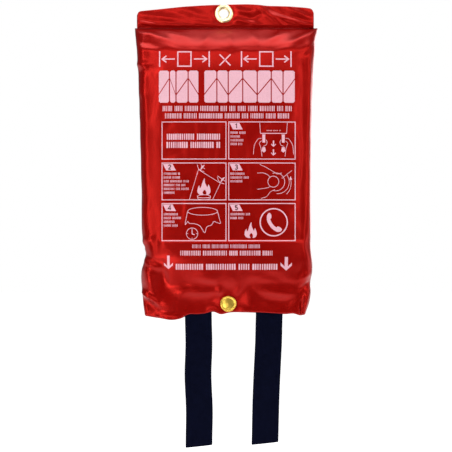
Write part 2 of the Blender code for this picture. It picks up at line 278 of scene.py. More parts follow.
def from_bmesh(name, bm):
    """The mesh of a bmesh, its normals outwards."""
    bmesh.ops.recalc_face_normals(bm, faces=bm.faces)
    mesh = bpy.data.meshes.new(name)
    bm.to_mesh(mesh)
    bm.free()
    return mesh


def grid_faces(rows, cols, wrap=False):
    """Quads over a grid of points numbered row by row."""
    across = cols if wrap else cols - 1
    i, j = np.meshgrid(np.arange(rows - 1), np.arange(across), indexing="ij")
    a, b = i * cols + j, i * cols + (j + 1) % cols
    return np.stack([a, b, b + cols, a + cols], axis=-1).reshape(-1, 4)


def normals_of(points):
    """Unit normals of a grid of points, towards the front where the grid runs right and up there."""
    cross = np.cross(np.gradient(points, axis=1), np.gradient(points, axis=0))
    return cross / np.linalg.norm(cross, axis=-1, keepdims=True)


def closed_mesh(name, points, faces):
    """A closed mesh, without the points that no face uses, its normals outwards."""
    mesh = bpy.data.meshes.new(name)
    mesh.from_pydata(points, [], faces)
    bm = bmesh.new()
    bm.from_mesh(mesh)
    bmesh.ops.delete(bm, geom=[v for v in bm.verts if not v.link_faces], context="VERTS")
    bmesh.ops.recalc_face_normals(bm, faces=bm.faces)
    bm.to_mesh(mesh)
    bm.free()
    return mesh


def slab_mesh(name, outer, inner, keep=None):
    """A closed sheet from two grids of points, without the cells that keep leaves out."""
    rows, cols = outer.shape[:2]
    faces = grid_faces(rows, cols)
    if keep is not None:
        faces = faces[keep.ravel()]
    count = rows * cols
    edges = np.concatenate([faces[:, [i, (i + 1) % 4]] for i in range(4)])
    present = set(map(tuple, edges.tolist()))
    bands = [(b, a, a + count, b + count) for a, b in present if (b, a) not in present]
    points = np.concatenate([outer.reshape(-1, 3), inner.reshape(-1, 3)])
    return closed_mesh(name, points.tolist(), faces.tolist() + (faces[:, ::-1] + count).tolist() + bands)


def tube_mesh(name, tubes):
    """Closed bodies, each through rings of points that are as many in every ring."""
    points, faces = [], []
    for rings in tubes:
        rows, cols = rings.shape[:2]
        start = len(points)
        points += rings.reshape(-1, 3).tolist()
        faces += (grid_faces(rows, cols, wrap=True) + start).tolist()
        faces += [[start + row * cols + k for k in range(cols)] for row in (0, rows - 1)]
    return closed_mesh(name, points, faces)


# ---- Folds in the sheet ----------------------------------------------------------------------

def fold(across, height, x0, h0, x1, h1, width, rise, sharp=False):
    """A ridge from (x0, h0) to (x1, h1), or a valley where rise is negative, all in millimetres."""
    a, b = np.array((x0, h0)) * MM, np.array((x1, h1)) * MM
    line = b - a
    length = np.hypot(*line)
    dx, dh = across - a[0], height - a[1]
    t = (dx * line[0] + dh * line[1]) / length**2
    off = (dx * line[1] - dh * line[0]) / length
    beyond = np.maximum(np.maximum(-t, t - 1), 0) * length
    reach = np.hypot(off, beyond) / (width * MM)
    taper = 0.35 + 0.65 * np.sin(np.pi * np.clip(t, 0, 1)) ** 0.7
    shape = np.exp(-np.sqrt(reach**2 + 0.04) + 0.2) if sharp else np.exp(-(reach**2))
    return rise * MM * taper * shape


def ripples(across, height, scale, seed):
    """Smooth random waves of about one unit, with features of about scale millimetres."""
    flat = zip(across.ravel() / (scale * MM), height.ravel() / (scale * MM))
    values = [noise.noise((a, b, seed)) for a, b in flat]
    return np.array(values).reshape(across.shape)


# ---- The front sheet's shape -----------------------------------------------------------------

# In millimetres: (height, x) down each side, and (x, height) along the mouth's edge
LEFT_SIDE = (
    (-10, -73.4), (0, -74.4), (8, -75.7), (18, -76.6), (30, -77.3), (40, -76.3), (50, -73.8),
    (58, -72.6), (66, -74.5), (80, -76.5), (105, -76.9), (150, -77.7), (200, -79.3), (235, -81.1),
    (255, -83.0), (263, -83.7),
)
RIGHT_SIDE = (
    (-10, 72.4), (0, 74.6), (8, 77.9), (18, 79.3), (26, 78.9), (36, 79.9), (50, 79.9), (60, 78.9),
    (75, 79.2), (105, 79.3), (150, 79.5), (200, 80.7), (235, 82.4), (255, 84.6), (263, 86.0),
)
MOUTH_EDGE = (
    (-85, -3.0), (-73, -3.6), (-66, -4.8), (-58, -6.0), (-51, -7.2), (-45, -6.8), (-39, -5.0),
    (-35, -2.8), (-25, -2.2), (-17, -1.2), (-11, 0.3), (-4, -1.9), (4, -0.4), (18, -0.2), (29, -0.5),
    (42, -1.2), (56, -1.8), (64, -1.4), (70, -3.0), (74, -2.2), (85, 4.0),
)
LIP = 12 * MM
CORNER = 8 * MM
SHOULDER = 238 * MM
SEAM_GAP = 0.05 * MM
FRONT_TOP = SEAM - SEAM_GAP
MOUTH_DEPTH = 5 * MM
SEAM_DEPTH = 2.4 * MM
LIP_BACK = 0.9 * MM
STUD_X, STUD_HEIGHT = 3 * MM, 7.7 * MM
SLIT_OPENING, SLIT_DEPTH = 4.5 * MM, 6 * MM
FRONT_PITCH = 1.4 * MM
FRONT_WIDTH = 144 * MM
FRONT_ROWS = 190
RUN_COLUMNS = {"lip": 7, "wall": 12, "corner": 11}
SETTLE_FRAMES = 10
SETTLE_SMOOTHING = 4
SETTLE_OVER_BLANKET, SETTLE_ELSEWHERE = 0.35 * MM, 1.2 * MM
CROWN = 3 * MM
FOLD_GAIN = 1.35
DEEPEST_DENT = 0.9 * MM
# Where the blanket lies close behind the front sheet
BLANKET_LOW, BLANKET_HIGH, BLANKET_HALF = 66 * MM, 246 * MM, 74 * MM


def front_depth(height):
    """Distance from the wall to the outside of the front sheet."""
    closing = smooth((NOTCH - height) / NOTCH)
    rise = np.sin(math.pi / 2 * np.clip((FRONT_TOP - height) / (FRONT_TOP - SHOULDER), 0, 1))
    shoulder = SEAM_DEPTH + (POUCH_DEPTH - SEAM_DEPTH) * rise
    return np.where(height < NOTCH, POUCH_DEPTH - (POUCH_DEPTH - MOUTH_DEPTH) * closing, shoulder)


# How the stud stands on the front sheet
STUD_SLOPE = float(front_depth(STUD_HEIGHT + MM) - front_depth(STUD_HEIGHT - MM)) / (2 * MM)
STUD_TILT = math.atan(STUD_SLOPE)
STUD_DEPTH = float(front_depth(STUD_HEIGHT))


def crown(x, height):
    """How far the pack pushes the middle of the front out."""
    full = ramp(height, 8, 63) * ramp(SEAM - height, 0, 42)
    return CROWN * full * (1 - np.clip(np.abs(x) / (70 * MM), 0, 1) ** 4)


def section_runs():
    """Columns of the wrapped section: which run each lies in, its place along it, and its side."""
    half = [(run, i / count) for run, count in RUN_COLUMNS.items() for i in range(count)]
    front = int(FRONT_WIDTH / FRONT_PITCH)
    middle = [("front", i / front, 0) for i in range(front + 1)]
    return [(run, t, -1) for run, t in half] + middle + [(run, t, 1) for run, t in reversed(half)]


def sheet_grid():
    """The front sheet's outer face before its folds, with the unrolled place of each point."""
    heights = np.linspace(0, FRONT_TOP, FRONT_ROWS + 1)
    runs = section_runs()
    left, right = through(LEFT_SIDE, heights), through(RIGHT_SIDE, heights)
    depth = front_depth(heights)
    radius = np.minimum(CORNER, 0.8 * (depth - LIP_BACK))
    points = np.zeros((len(heights), len(runs), 3))
    for column, (run, t, side) in enumerate(runs):
        edge = left if side < 0 else right
        if run == "lip":
            x, y = edge - side * LIP * (1 - t), np.full_like(depth, -LIP_BACK)
        elif run == "wall":
            x, y = edge, -LIP_BACK - t * (depth - radius - LIP_BACK)
        elif run == "corner":
            turn = math.pi / 2 * t
            x = edge - side * radius * (1 - math.cos(turn))
            y = -(depth - radius) - radius * math.sin(turn)
        else:
            x = (left + radius) + t * (right - left - 2 * radius)
            y = -depth
        if run in ("front", "corner"):
            y = y - crown(x, heights)
        points[:, column] = np.stack([x, y, heights], axis=-1)
    steps = np.linalg.norm(np.diff(points[..., :2], axis=1), axis=-1)
    across = np.concatenate([np.zeros((len(heights), 1)), np.cumsum(steps, axis=1)], axis=1)
    middle = len(runs) // 2
    across += points[:, middle : middle + 1, 0] - across[:, middle : middle + 1]
    return points, across, runs


# Folds in millimetres: (x, height) of the start and of the end, width, rise. A negative rise is a valley.
BODY_FOLDS = (
    # soft ones at the shoulders
    (-80, 259, -52, 249, 3.2, 1.5), (-84, 250, -60, 243, 3.0, -0.9), (-58, 258, -34, 253, 3.5, 0.8),
    (84, 259, 62, 247, 3.4, 1.6), (86, 248, 70, 236, 3.0, -0.8), (60, 259, 40, 250, 3.2, 0.9),
    (4, 256, 7, 242, 2.2, 0.45), (-14, 257, -20, 246, 3.0, 0.5), (24, 258, 30, 247, 3.0, 0.5),
    # a dent at the left edge, and long ones beside the right edge
    (-84, 228, -70, 226, 3.2, 1.2), (-82, 219, -71, 222, 3.4, -0.7), (-80, 204, -72, 196, 4, 0.6),
    (78.5, 244, 77, 150, 1.9, 0.8), (77, 150, 77.5, 72, 1.9, 0.7), (72.5, 236, 71.5, 120, 2.0, -0.35),
    (-79, 180, -77, 110, 3.2, 0.5), (-72, 210, -71, 120, 3.6, 0.3),
    # out of the left notch
    (-80, 63, -66, 70, 3.0, 1.0), (-79, 54, -62, 45, 2.4, -1.5), (-74, 49, -58, 40, 3.2, 1.3),
    (-70, 41, -67, 18, 5.0, 1.4), (-68, 15, -46, 10, 8.0, 1.7), (-60, 44, -54, 26, 4.0, -1.0),
    # the lower corners
    (-77, 20, -63, 12.5, 1.9, 1.5), (-76, 12, -60, 6, 3.0, -1.0), (-62, 1.5, -43, -1.5, 2.2, 1.5),
    (80, 27, 70, 22, 2.2, -1.2), (79, 36, 68, 31, 3.0, 0.9), (76, 18, 73, 4, 2.2, 1.2),
    (71, 12, 70.5, -5, 1.3, -1.9),
    # broad ones over the straps and beside the stud
    (-44, 21, -6, 19, 4.2, 1.1), (30, 21, 64, 18, 4.2, 1.1), (-38, 10, -10, 9, 3.4, -0.2),
    (28, 10, 62, 9, 3.6, -0.5), (-30, 33, 6, 29, 5.0, 0.7), (18, 34, 50, 30, 5.0, 0.6),
    (-6, 26, -4, 16, 2.6, 0.6), (14, 24, 10, 15, 2.6, 0.5), (-16, 3, -3, 1, 1.8, 0.5),
    (12, 3, 24, 1, 1.8, 0.4),
)
SHARP_FOLDS = (
    (46, 264, 48.5, 257, 1.6, -1.0), (48.5, 257, 54, 264, 1.8, 0.9), (-83, 256, -66, 253.5, 1.3, 0.7),
    (-76, 57, -66, 52, 1.4, -0.9), (-75, 18.5, -65, 13.5, 0.9, 0.5),
)


def body_relief(across, height):
    """How far the folds and waves push the front sheet out."""
    gain = FOLD_GAIN * (1 + 0.5 * ramp(height, 60, 40))
    relief = gain * sum(fold(across, height, *f) for f in BODY_FOLDS)
    relief += sum(fold(across, height, *f, sharp=True) for f in SHARP_FOLDS)
    lower = ramp(height, 62, 32)
    edges = ramp(np.abs(across), 60, 74)
    upper = ramp(height, 232, 250)
    amount = 0.07 + 0.55 * lower + 0.25 * edges + 0.35 * upper
    waves = ripples(across, height, 21, 1.7) + 0.45 * ripples(across, height, 9, 8.3)
    relief += amount * MM * waves
    over_blanket = (height > BLANKET_LOW) & (height < BLANKET_HIGH) & (np.abs(across) < BLANKET_HALF)
    relief = np.where(over_blanket, np.maximum(relief, -DEEPEST_DENT), relief)
    return relief * ramp(np.hypot(across - STUD_X, height - STUD_HEIGHT), 7, 14)


def drop_mouth(points):
    """The mouth's edge runs up and down, and the slit opens at the back of the notch."""
    x, y, height = (points[..., i] for i in range(3))
    low = through(MOUTH_EDGE, x) * np.clip(1 - height / (45 * MM), 0, 1) ** 2
    behind = ramp(POUCH_DEPTH + y, 5, 17)
    above = height - NOTCH
    part = SLIT_OPENING * behind * np.sign(above) * np.exp(-np.abs(above) / (12 * MM))
    points[..., 2] = height + low + np.where(above == 0, 0, part)
    return points


def settle(points, keep, pinned, limit):
    """Lets the sheet buckle and swell as cloth, up to the limit, held where it is pinned."""
    rows, cols = pinned.shape
    mesh = bpy.data.meshes.new("settling")
    mesh.from_pydata(points.reshape(-1, 3).tolist(), [], grid_faces(rows, cols)[keep.ravel()].tolist())
    sheet = bpy.data.objects.new("settling", mesh)
    bpy.context.scene.collection.objects.link(sheet)
    group = sheet.vertex_groups.new(name="pinned")
    group.add(np.flatnonzero(pinned.ravel()).tolist(), 1.0, "REPLACE")
    cloth = sheet.modifiers.new("Cloth", "CLOTH")
    settings = cloth.settings
    settings.quality = 5
    settings.mass = 0.08
    settings.tension_stiffness = settings.compression_stiffness = 20
    settings.shear_stiffness = 8
    settings.bending_stiffness = 0.6
    settings.vertex_group_mass = "pinned"
    settings.shrink_min = -0.006
    settings.effector_weights.gravity = 0
    settings.use_pressure = True
    settings.uniform_pressure_force = 0.8
    cloth.collision_settings.use_collision = False
    cloth.point_cache.frame_start, cloth.point_cache.frame_end = 1, SETTLE_FRAMES
    for frame_number in range(1, SETTLE_FRAMES + 1):
        bpy.context.scene.frame_set(frame_number)
    settled = np.zeros(rows * cols * 3, np.float32)
    evaluated = sheet.evaluated_get(bpy.context.evaluated_depsgraph_get())
    evaluated.data.vertices.foreach_get("co", settled)
    bpy.context.scene.frame_set(1)
    bpy.data.objects.remove(sheet)
    normal = normals_of(points)
    swell = ((settled.reshape(rows, cols, 3) - points) * normal).sum(axis=-1) * ~pinned
    for _ in range(SETTLE_SMOOTHING):
        padded = np.pad(swell, 1, mode="edge")
        swell = sum(padded[i : i + rows, j : j + cols] for i in range(3) for j in range(3)) / 9
    return points + normal * np.clip(swell, -0.2 * limit, limit)[..., None]


def front_sheet():
    """The outer and inner face of the front sheet as grids of points, and which cells to keep."""
    points, across, runs = sheet_grid()
    height = points[..., 2].copy()
    in_lip = np.array([run == "lip" for run, _, _ in runs])
    calm_back = ramp(-points[..., 1], 1.5, 5.5)
    calm_seam = 0.25 + 0.75 * ramp(FRONT_TOP - height, 0, 3)
    relief = body_relief(across, height) * calm_back * calm_seam * ~in_lip
    points = drop_mouth(points + normals_of(points) * relief[..., None])
    points[..., 2] += MOUTH_Z

    # below the notch the sides are open, and the notch itself is a slit behind the front
    rows, cols = height.shape
    keep = np.ones((rows - 1, cols - 1), bool)
    notch_row = int(np.argmax(height[:, 0] > NOTCH))
    keep[:notch_row, in_lip[:-1] | in_lip[1:]] = False
    behind_front = points[notch_row, :, 1] > -POUCH_DEPTH + SLIT_DEPTH
    keep[notch_row - 1, behind_front[:-1] & behind_front[1:]] = False
    near_stud = np.hypot(across - STUD_X, height - STUD_HEIGHT) < 10 * MM
    pinned = (calm_back < 0.9) | near_stud | (height > SEAM - 1 * MM) | (height < 1 * MM)
    over_blanket = (np.abs(across) < BLANKET_HALF + 2 * MM) & (height > BLANKET_LOW)
    limit = np.where(over_blanket, SETTLE_OVER_BLANKET, SETTLE_ELSEWHERE)
    points = settle(points, keep, pinned, limit)
    return points, points - normals_of(points) * SHEET, keep


# ---- Header ----------------------------------------------------------------------------------

HEADER_ARCH = (
    (-90, 276.8), (-81, 278.0), (-60, 280.2), (-36, 282.6), (0, 284.3), (30, 284.2), (36, 283.5),
    (50, 283.0), (65, 282.2), (78, 281.0), (82, 280.2), (90, 279),
)
HEADER_SIDES = (-81.6 * MM, 82.2 * MM)
HEADER_ROUND = 3.8 * MM
HEADER_LEAN = 1.7 * MM
HEADER_COLUMNS, HEADER_ROWS = 150, 26
EYELET_X, EYELET_HEIGHT = -1 * MM, 276 * MM
EYELET_OUTER, EYELET_BORE = 8.5 * MM, 4.3 * MM
HEADER_FOLDS = (
    (32, 283, 54, 265, 2.6, 1.5), (40, 284, 60, 272, 2.2, -0.8), (46, 274.5, 67, 268, 2.0, 1.5),
    (58, 281, 78, 272, 3.2, 1.1), (66, 268, 81, 264, 2.4, 0.9), (8, 271, 34, 264.5, 2.4, 0.9),
    (10, 280, 26, 276, 3.0, 0.6), (-81, 268.5, -64, 265.4, 1.5, 1.2),
    (-81, 265.6, -66, 263.8, 1.0, -0.8), (-62, 266, -30, 264.6, 1.6, 0.7),
    (-78, 275, -40, 270, 4.0, 0.7), (-44, 281, -14, 272, 4.0, 0.6), (-30, 268, -8, 265, 2.4, 0.5),
    (20, 270, 40, 278, 3.0, -0.5),
)


def header_relief(x, height):
    relief = FOLD_GAIN * sum(fold(x, height, *f) for f in HEADER_FOLDS)
    relief += 0.5 * MM * ripples(x, height, 13, 4.1) + 0.15 * MM * ripples(x, height, 5, 6.6)
    leaning = np.clip((286 * MM - height) / (28 * MM), 0, 1)
    relief += HEADER_LEAN * leaning * ramp(height - SEAM, 0, 2.4)
    from_eyelet = np.hypot(x - EYELET_X, height - EYELET_HEIGHT)
    calm = ramp(from_eyelet - EYELET_OUTER, 0, 5) * ramp(height - SEAM, 0, 2.5)
    return np.maximum(relief, -0.2 * MM) * calm


def header_layer(name, front, low):
    """One layer of the header, its front face at the given depth, from low up to the arch."""
    left, right = HEADER_SIDES
    x = np.linspace(left, right, HEADER_COLUMNS)
    inside = np.clip(HEADER_ROUND - np.minimum(x - left, right - x), 0, HEADER_ROUND)
    drop = HEADER_ROUND - np.sqrt(HEADER_ROUND**2 - inside**2)
    t = np.linspace(0, 1, HEADER_ROWS)[:, None]
    height = low + t * (through(HEADER_ARCH, x) - drop - low)
    across = np.broadcast_to(x, height.shape)
    outer = np.stack([across, -front - header_relief(across, height), MOUTH_Z + height], axis=-1)
    mesh = slab_mesh(name, outer, outer + np.array([0, SHEET, 0]))
    return bored(mesh, EYELET_BORE + 0.7 * MM)


def bored(mesh, radius):
    """The mesh with the eyelet's hole cut through it."""
    bm = bmesh.new()
    bmesh.ops.create_cone(bm, cap_ends=True, segments=64, radius1=radius, radius2=radius, depth=30 * MM)
    cutter_mesh = from_bmesh("bore_cutter", bm)
    place = Matrix.Translation((EYELET_X, 0, at_height(EYELET_HEIGHT)))
    cutter_mesh.transform(place @ Matrix.Rotation(math.pi / 2, 4, "X"))
    target = bpy.data.objects.new("bore_target", mesh)
    cutter = bpy.data.objects.new("bore_cutter", cutter_mesh)
    for obj in (target, cutter):
        bpy.context.scene.collection.objects.link(obj)
    modifier = target.modifiers.new("bore", "BOOLEAN")
    modifier.object = cutter
    modifier.operation = "DIFFERENCE"
    bpy.context.view_layer.update()
    evaluated = target.evaluated_get(bpy.context.evaluated_depsgraph_get())
    result = bpy.data.meshes.new_from_object(evaluated)
    for obj in (target, cutter):
        bpy.data.objects.remove(obj)
    return result


# ---- Back sheet ------------------------------------------------------------------------------

# Creases as in BODY_FOLDS, each standing off the wall
BACK_FOLDS = (
    (-66, 250, -40, 238, 4.0, 0.9), (66, 251, 38, 236, 4.5, 0.9), (-20, 252, -26, 226, 5.0, 0.5),
    (14, 252, 22, 230, 4.0, 0.6), (-62, 200, -58, 120, 5.5, 0.8), (61, 214, 58, 110, 5.0, 0.8),
    (-60, 96, -30, 80, 5.0, 0.7), (60, 90, 34, 76, 5.0, 0.6), (-40, 170, 30, 158, 7.0, 0.5),
    (-6, 30, -30, 60, 4.0, 0.7), (12, 30, 36, 58, 4.0, 0.7), (-58, 40, -36, 22, 4.0, 0.8),
    (60, 38, 38, 24, 4.0, 0.8), (3, 34, 4, 70, 3.4, 0.6),
)
BACK_COLUMNS, BACK_ROWS = 190, 300
BACK_INSET = 0.5 * MM
BACK_SLACK = 1.1 * MM
BOSS_RISE = 1.22 * MM
WELD_RIB = 1.6 * MM
WELD_RISE = 0.22 * MM
WELD_INNER = 8.2 * MM


def back_sheet():
    """Flat on the wall, drawn forwards round the male stud, and marked by its side welds."""
    rows = np.linspace(0, FRONT_TOP, BACK_ROWS)[:, None]
    t = np.linspace(0, 1, BACK_COLUMNS)[None, :]
    left, right = through(LEFT_SIDE, rows) + BACK_INSET, through(RIGHT_SIDE, rows) - BACK_INSET
    x = left + t * (right - left)
    height = rows + 0 * x
    low = (through(MOUTH_EDGE, x) - 0.8 * MM) * np.clip(1 - rows / (30 * MM), 0, 1) ** 2
    from_stud = np.hypot(x - STUD_X, height - STUD_HEIGHT)
    boss = (BOSS_RISE + STUD_SLOPE * (height - STUD_HEIGHT)) * ramp(from_stud, 9.2, 5.2)
    from_side = np.minimum(x - left, right - x)
    welded = (from_side > 1.8 * MM) & (from_side < WELD_INNER) & (height > NOTCH + 3 * MM)
    weld = WELD_RISE * np.abs(np.sin(math.pi * (height + 0.5 * from_side) / WELD_RIB)) * welded
    slack = sum(fold(x, height, *f) for f in BACK_FOLDS)
    slack += 0.9 * MM * np.maximum(ripples(x, height, 24, 12.4) + 0.2, 0)
    slack += 0.3 * MM * np.maximum(ripples(x, height, 10, 3.2), 0)
    free = ramp(from_side, 12.5, 19.5) * ramp(SEAM - height, 0, 5)
    slack = np.clip(slack, 0, BACK_SLACK) * free * ramp(from_stud, 10, 20)
    back = np.stack([x, -boss - slack - weld, MOUTH_Z + height + low], axis=-1)
    return slab_mesh("back_sheet", back - np.array([0, SHEET, 0]), back)


# ---- Thread ----------------------------------------------------------------------------------

def stitches(name, spans, radius):
    """Short lengths of thread, each a little bowed, from (start, end, outward) spans."""
    t = np.linspace(0, 1, 9)[:, None, None]
    turn = 2 * math.pi * np.arange(8)[None, :, None] / 8
    fill = radius * np.sqrt(np.maximum(1 - np.abs(2 * t - 1) ** 3, 0.02))
    bow = 0.9 * radius * (np.sin(math.pi * t) - 0.4)
    tubes = []
    for start, end, way in np.array(spans):
        side = np.cross(end - start, way)
        side /= np.linalg.norm(side)
        centre = start + (end - start) * t + way * bow
        tubes.append(centre + (side * np.cos(turn) + way * np.sin(turn)) * fill)
    return tube_mesh(name, tubes)


def seam_spans():
    """The row of stitches across the pouch, on its front and half a step on at its back."""
    pitch, length, half_row = 2.3 * MM, 1.9 * MM, 80 * MM
    front, back = -SEAM_DEPTH - 0.05 * MM, -0.85 * MM
    spans = []
    for i in range(int(2 * half_row / pitch)):
        z = FOLD_AXIS.z + 0.12 * MM * math.sin(i * 1.9)
        for x, y, way in ((i * pitch, front, -1), ((i + 0.5) * pitch, back, 1)):
            x -= half_row
            spans.append(((x, y, z), (x + length, y, z), (0, way, 0)))
    return spans


def box_spans(x, z, half, depth):
    """Box-and-cross sewing round a point on a strap."""
    pitch, length, first = 2.2 * MM, 1.7 * MM, 0.2 * MM
    a, b, c, d = (-half, -half), (half, -half), (half, half), (-half, half)
    spans = []
    for (ax, az), (bx, bz) in ((a, b), (b, c), (c, d), (d, a), (a, c), (b, d)):
        size = math.hypot(bx - ax, bz - az)
        for i in range(int(size / pitch)):
            start = (i * pitch + first) / size
            ends = (start, start + length / size)
            places = [(x + ax + (bx - ax) * t, depth, z + az + (bz - az) * t) for t in ends]
            spans.append((*places, (0, 1, 0)))
    return spans


# ---- Straps ----------------------------------------------------------------------------------

TAB_LEAN = {"left": math.radians(0.4), "right": math.radians(-2.0)}
ROWS_A_RIB = 6
STRAP_COLUMNS = 27
RIB_RISE = 0.2 * MM
CUT_ROUND = 0.9 * MM


def strap_mesh(side):
    """One strap of ribbed webbing, from its sewn root to its cut end."""
    low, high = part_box(side + "_strap_root")
    middle, half, thick = (low + high) / 2, (high.x - low.x) / 2, (high.y - low.y) / 2
    cut_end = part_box(side + "_pull_tab")[0].z
    steps = int((high.z - cut_end) / RIB_PITCH * ROWS_A_RIB)
    z = np.linspace(high.z, cut_end + CUT_ROUND, steps)
    below = np.maximum(JOINTS[side + "_tab_swing"]["pos_m"][2] - z, 0)
    free = ramp(below, 0, 30)
    wobble = 0.5 * MM * np.sin(below / (11 * MM)) * ramp(below, 0, 60) * (side == "left")
    wobble += 0.3 * MM * np.sin(below / (19 * MM) + 1) * free
    x = middle.x + below * math.tan(TAB_LEAN[side]) + wobble
    y = middle.y - 1.1 * MM * np.sin(below / (24 * MM)) * free
    groove = 1 - np.abs(np.sin(math.pi * z / RIB_PITCH))
    ends = smooth(np.minimum(z - z[-1], z[0] - z) / CUT_ROUND)
    width = (half - 0.8 * RIB_RISE * groove) * (0.965 + 0.035 * ends)
    depth = (thick - RIB_RISE * groove) * (0.55 + 0.45 * ends)
    across = np.linspace(-1, 1, STRAP_COLUMNS)
    threads = 1 - 0.05 * np.abs(np.sin(np.arange(STRAP_COLUMNS) * math.pi / 2))
    profile = (1 - 0.55 * np.abs(across) ** 14) * threads
    front, back = np.stack([across, -profile]), np.stack([across[::-1], profile[::-1]])
    u, v = np.concatenate([front, back], axis=1)
    cut_slant = 1.3 * MM * ramp(z - z[-1], 30, 0)
    rings = np.stack([
        x[:, None] + width[:, None] * u, y[:, None] + depth[:, None] * v,
        z[:, None] + 0.12 * MM * u**2 + cut_slant[:, None] * u,
    ], axis=-1)
    return tube_mesh(side + "_strap", [rings])


# ---- Blanket ---------------------------------------------------------------------------------

LEAVES = 6
LEAF_GAP = 0.35 * MM
LAYERS = 7
LEAF_STEPS, TURN_STEPS = 59, 13


def serpentine():
    """The pack's middle line in (y, z), leaf by leaf with rounded folds between them."""
    low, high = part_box("blanket")
    pitch = (high.y - low.y) / LEAVES
    leaf = pitch - LEAF_GAP
    turn = (pitch + leaf) / 2
    back = high.y - LEAF_GAP / 2 - leaf / 2
    line = []
    for i in range(LEAVES):
        y = back - i * pitch
        start, end = (high.z - turn, low.z + turn) if i % 2 == 0 else (low.z + turn, high.z - turn)
        line += [(y, start + (end - start) * t) for t in np.arange(LEAF_STEPS) / LEAF_STEPS]
        if i < LEAVES - 1:
            bulge = math.copysign(pitch / 2 * 1.05, end - start)
            turning = math.pi * np.arange(TURN_STEPS) / TURN_STEPS
            line += [(y - pitch / 2 * (1 - math.cos(a)), end + bulge * math.sin(a)) for a in turning]
    line.append((y, end))
    return np.array(line), leaf


def blanket_mesh():
    """The folded pack: a thick zigzag whose open side edges show its seven layers."""
    line, leaf = serpentine()
    ahead = np.gradient(line, axis=0)
    ahead /= np.linalg.norm(ahead, axis=1, keepdims=True)
    side = np.stack([ahead[:, 1], -ahead[:, 0]], axis=1)
    low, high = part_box("blanket")
    half = (high.x - low.x) / 2 - 0.4 * MM

    def lattice(s, u, t):
        """Points for places along the line, across the width (-1 to 1) and through the thickness."""
        s, u, t = np.broadcast_arrays(s, u, t)
        layer = t * LAYERS
        scallop = np.abs(np.sin(math.pi * layer)) ** 0.7
        ragged = 0.35 * MM * np.sin(s * 0.11 + np.floor(np.clip(layer, 0, LAYERS - 1e-6)) * 2.1)
        x = u * (half + np.where(np.abs(u) > 0.999, (scallop - 1) * 0.3 * MM + ragged * 0.5, 0))
        soft = 0.3 * MM * (1 + np.sin(6.1 * u + 0.052 * s) * np.sin(2.7 * u - 0.083 * s + 1))
        puff = (leaf - soft) * (0.5 - t) * (1 - 0.1 * np.abs(u) ** 8)
        return np.concatenate([x[..., None], line[s] + side[s] * puff[..., None]], axis=-1)

    s_all, u_all = np.arange(len(line)), np.linspace(-1, 1, 60)
    t_all = np.linspace(0, 1, 4 * LAYERS + 1)
    grids = [lattice(s_all[:, None], u_all, t) for t in (0.0, 1.0)]
    grids += [lattice(s_all[:, None], u, t_all) for u in (-1.0, 1.0)]
    grids += [lattice(end, u_all[:, None], t_all) for end in (0, len(line) - 1)]
    bm = bmesh.new()
    for grid in grids:
        verts = [bm.verts.new(p) for p in grid.reshape(-1, 3)]
        for face in grid_faces(*grid.shape[:2]):
            bm.faces.new([verts[i] for i in face])
    bmesh.ops.remove_doubles(bm, verts=bm.verts, dist=2e-6)
    return from_bmesh("blanket_pack", bm)


# ---- Brass -----------------------------------------------------------------------------------

def turned(profile, steps=96, wobble=0.0):
    """A bmesh of a closed profile turned about the Y axis, a little out of round where it wobbles."""
    bm = bmesh.new()
    loops = []
    for i in range(steps):
        a = 2 * math.pi * i / steps
        stretch = MM * (1 + wobble * math.sin(3 * a + 0.6))
        c, s = stretch * math.cos(a), stretch * math.sin(a)
        loops.append([bm.verts.new((r * c, -along * MM, r * s)) for r, along in profile])
    count = len(profile)
    for one, other in zip(loops, loops[1:] + loops[:1]):
        for k in range(count):
            n = (k + 1) % count
            bm.faces.new((one[k], one[n], other[n], other[k]))
    bmesh.ops.remove_doubles(bm, verts=bm.verts, dist=1e-7)
    return bm


def rounded(profile, steps=4, share=0.3):
    """The closed profile with each of its corners away from the axis rounded off."""
    out = []
    count = len(profile)
    for i, point in enumerate(profile):
        p = Vector(point)
        before, after = Vector(profile[i - 1]), Vector(profile[(i + 1) % count])
        if p.x < 1e-6:
            out.append(tuple(p))
            continue
        a, b = p.lerp(before, share), p.lerp(after, share)
        for k in range(steps + 1):
            t = k / steps
            out.append(tuple(a.lerp(p, t).lerp(p.lerp(b, t), t)))
    return out


def on_stud(mesh):
    """Moves what is built about the origin to the press stud's place on the front sheet."""
    place = Matrix.Translation((STUD_X, -STUD_DEPTH, at_height(STUD_HEIGHT)))
    mesh.transform(place @ Matrix.Rotation(STUD_TILT, 4, "X"))


def brass_piece(name, profile, material, slot, body, node, wobble=0.0):
    mesh = from_bmesh(name, turned(rounded(profile), wobble=wobble))
    if body == "header":
        mesh.transform(Matrix.Translation((EYELET_X, 0, at_height(EYELET_HEIGHT))))
    else:
        on_stud(mesh)
    piece = new_piece(name, mesh, material, slot, node)
    mesh.set_sharp_from_angle(angle=math.radians(50))
    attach(piece, body)


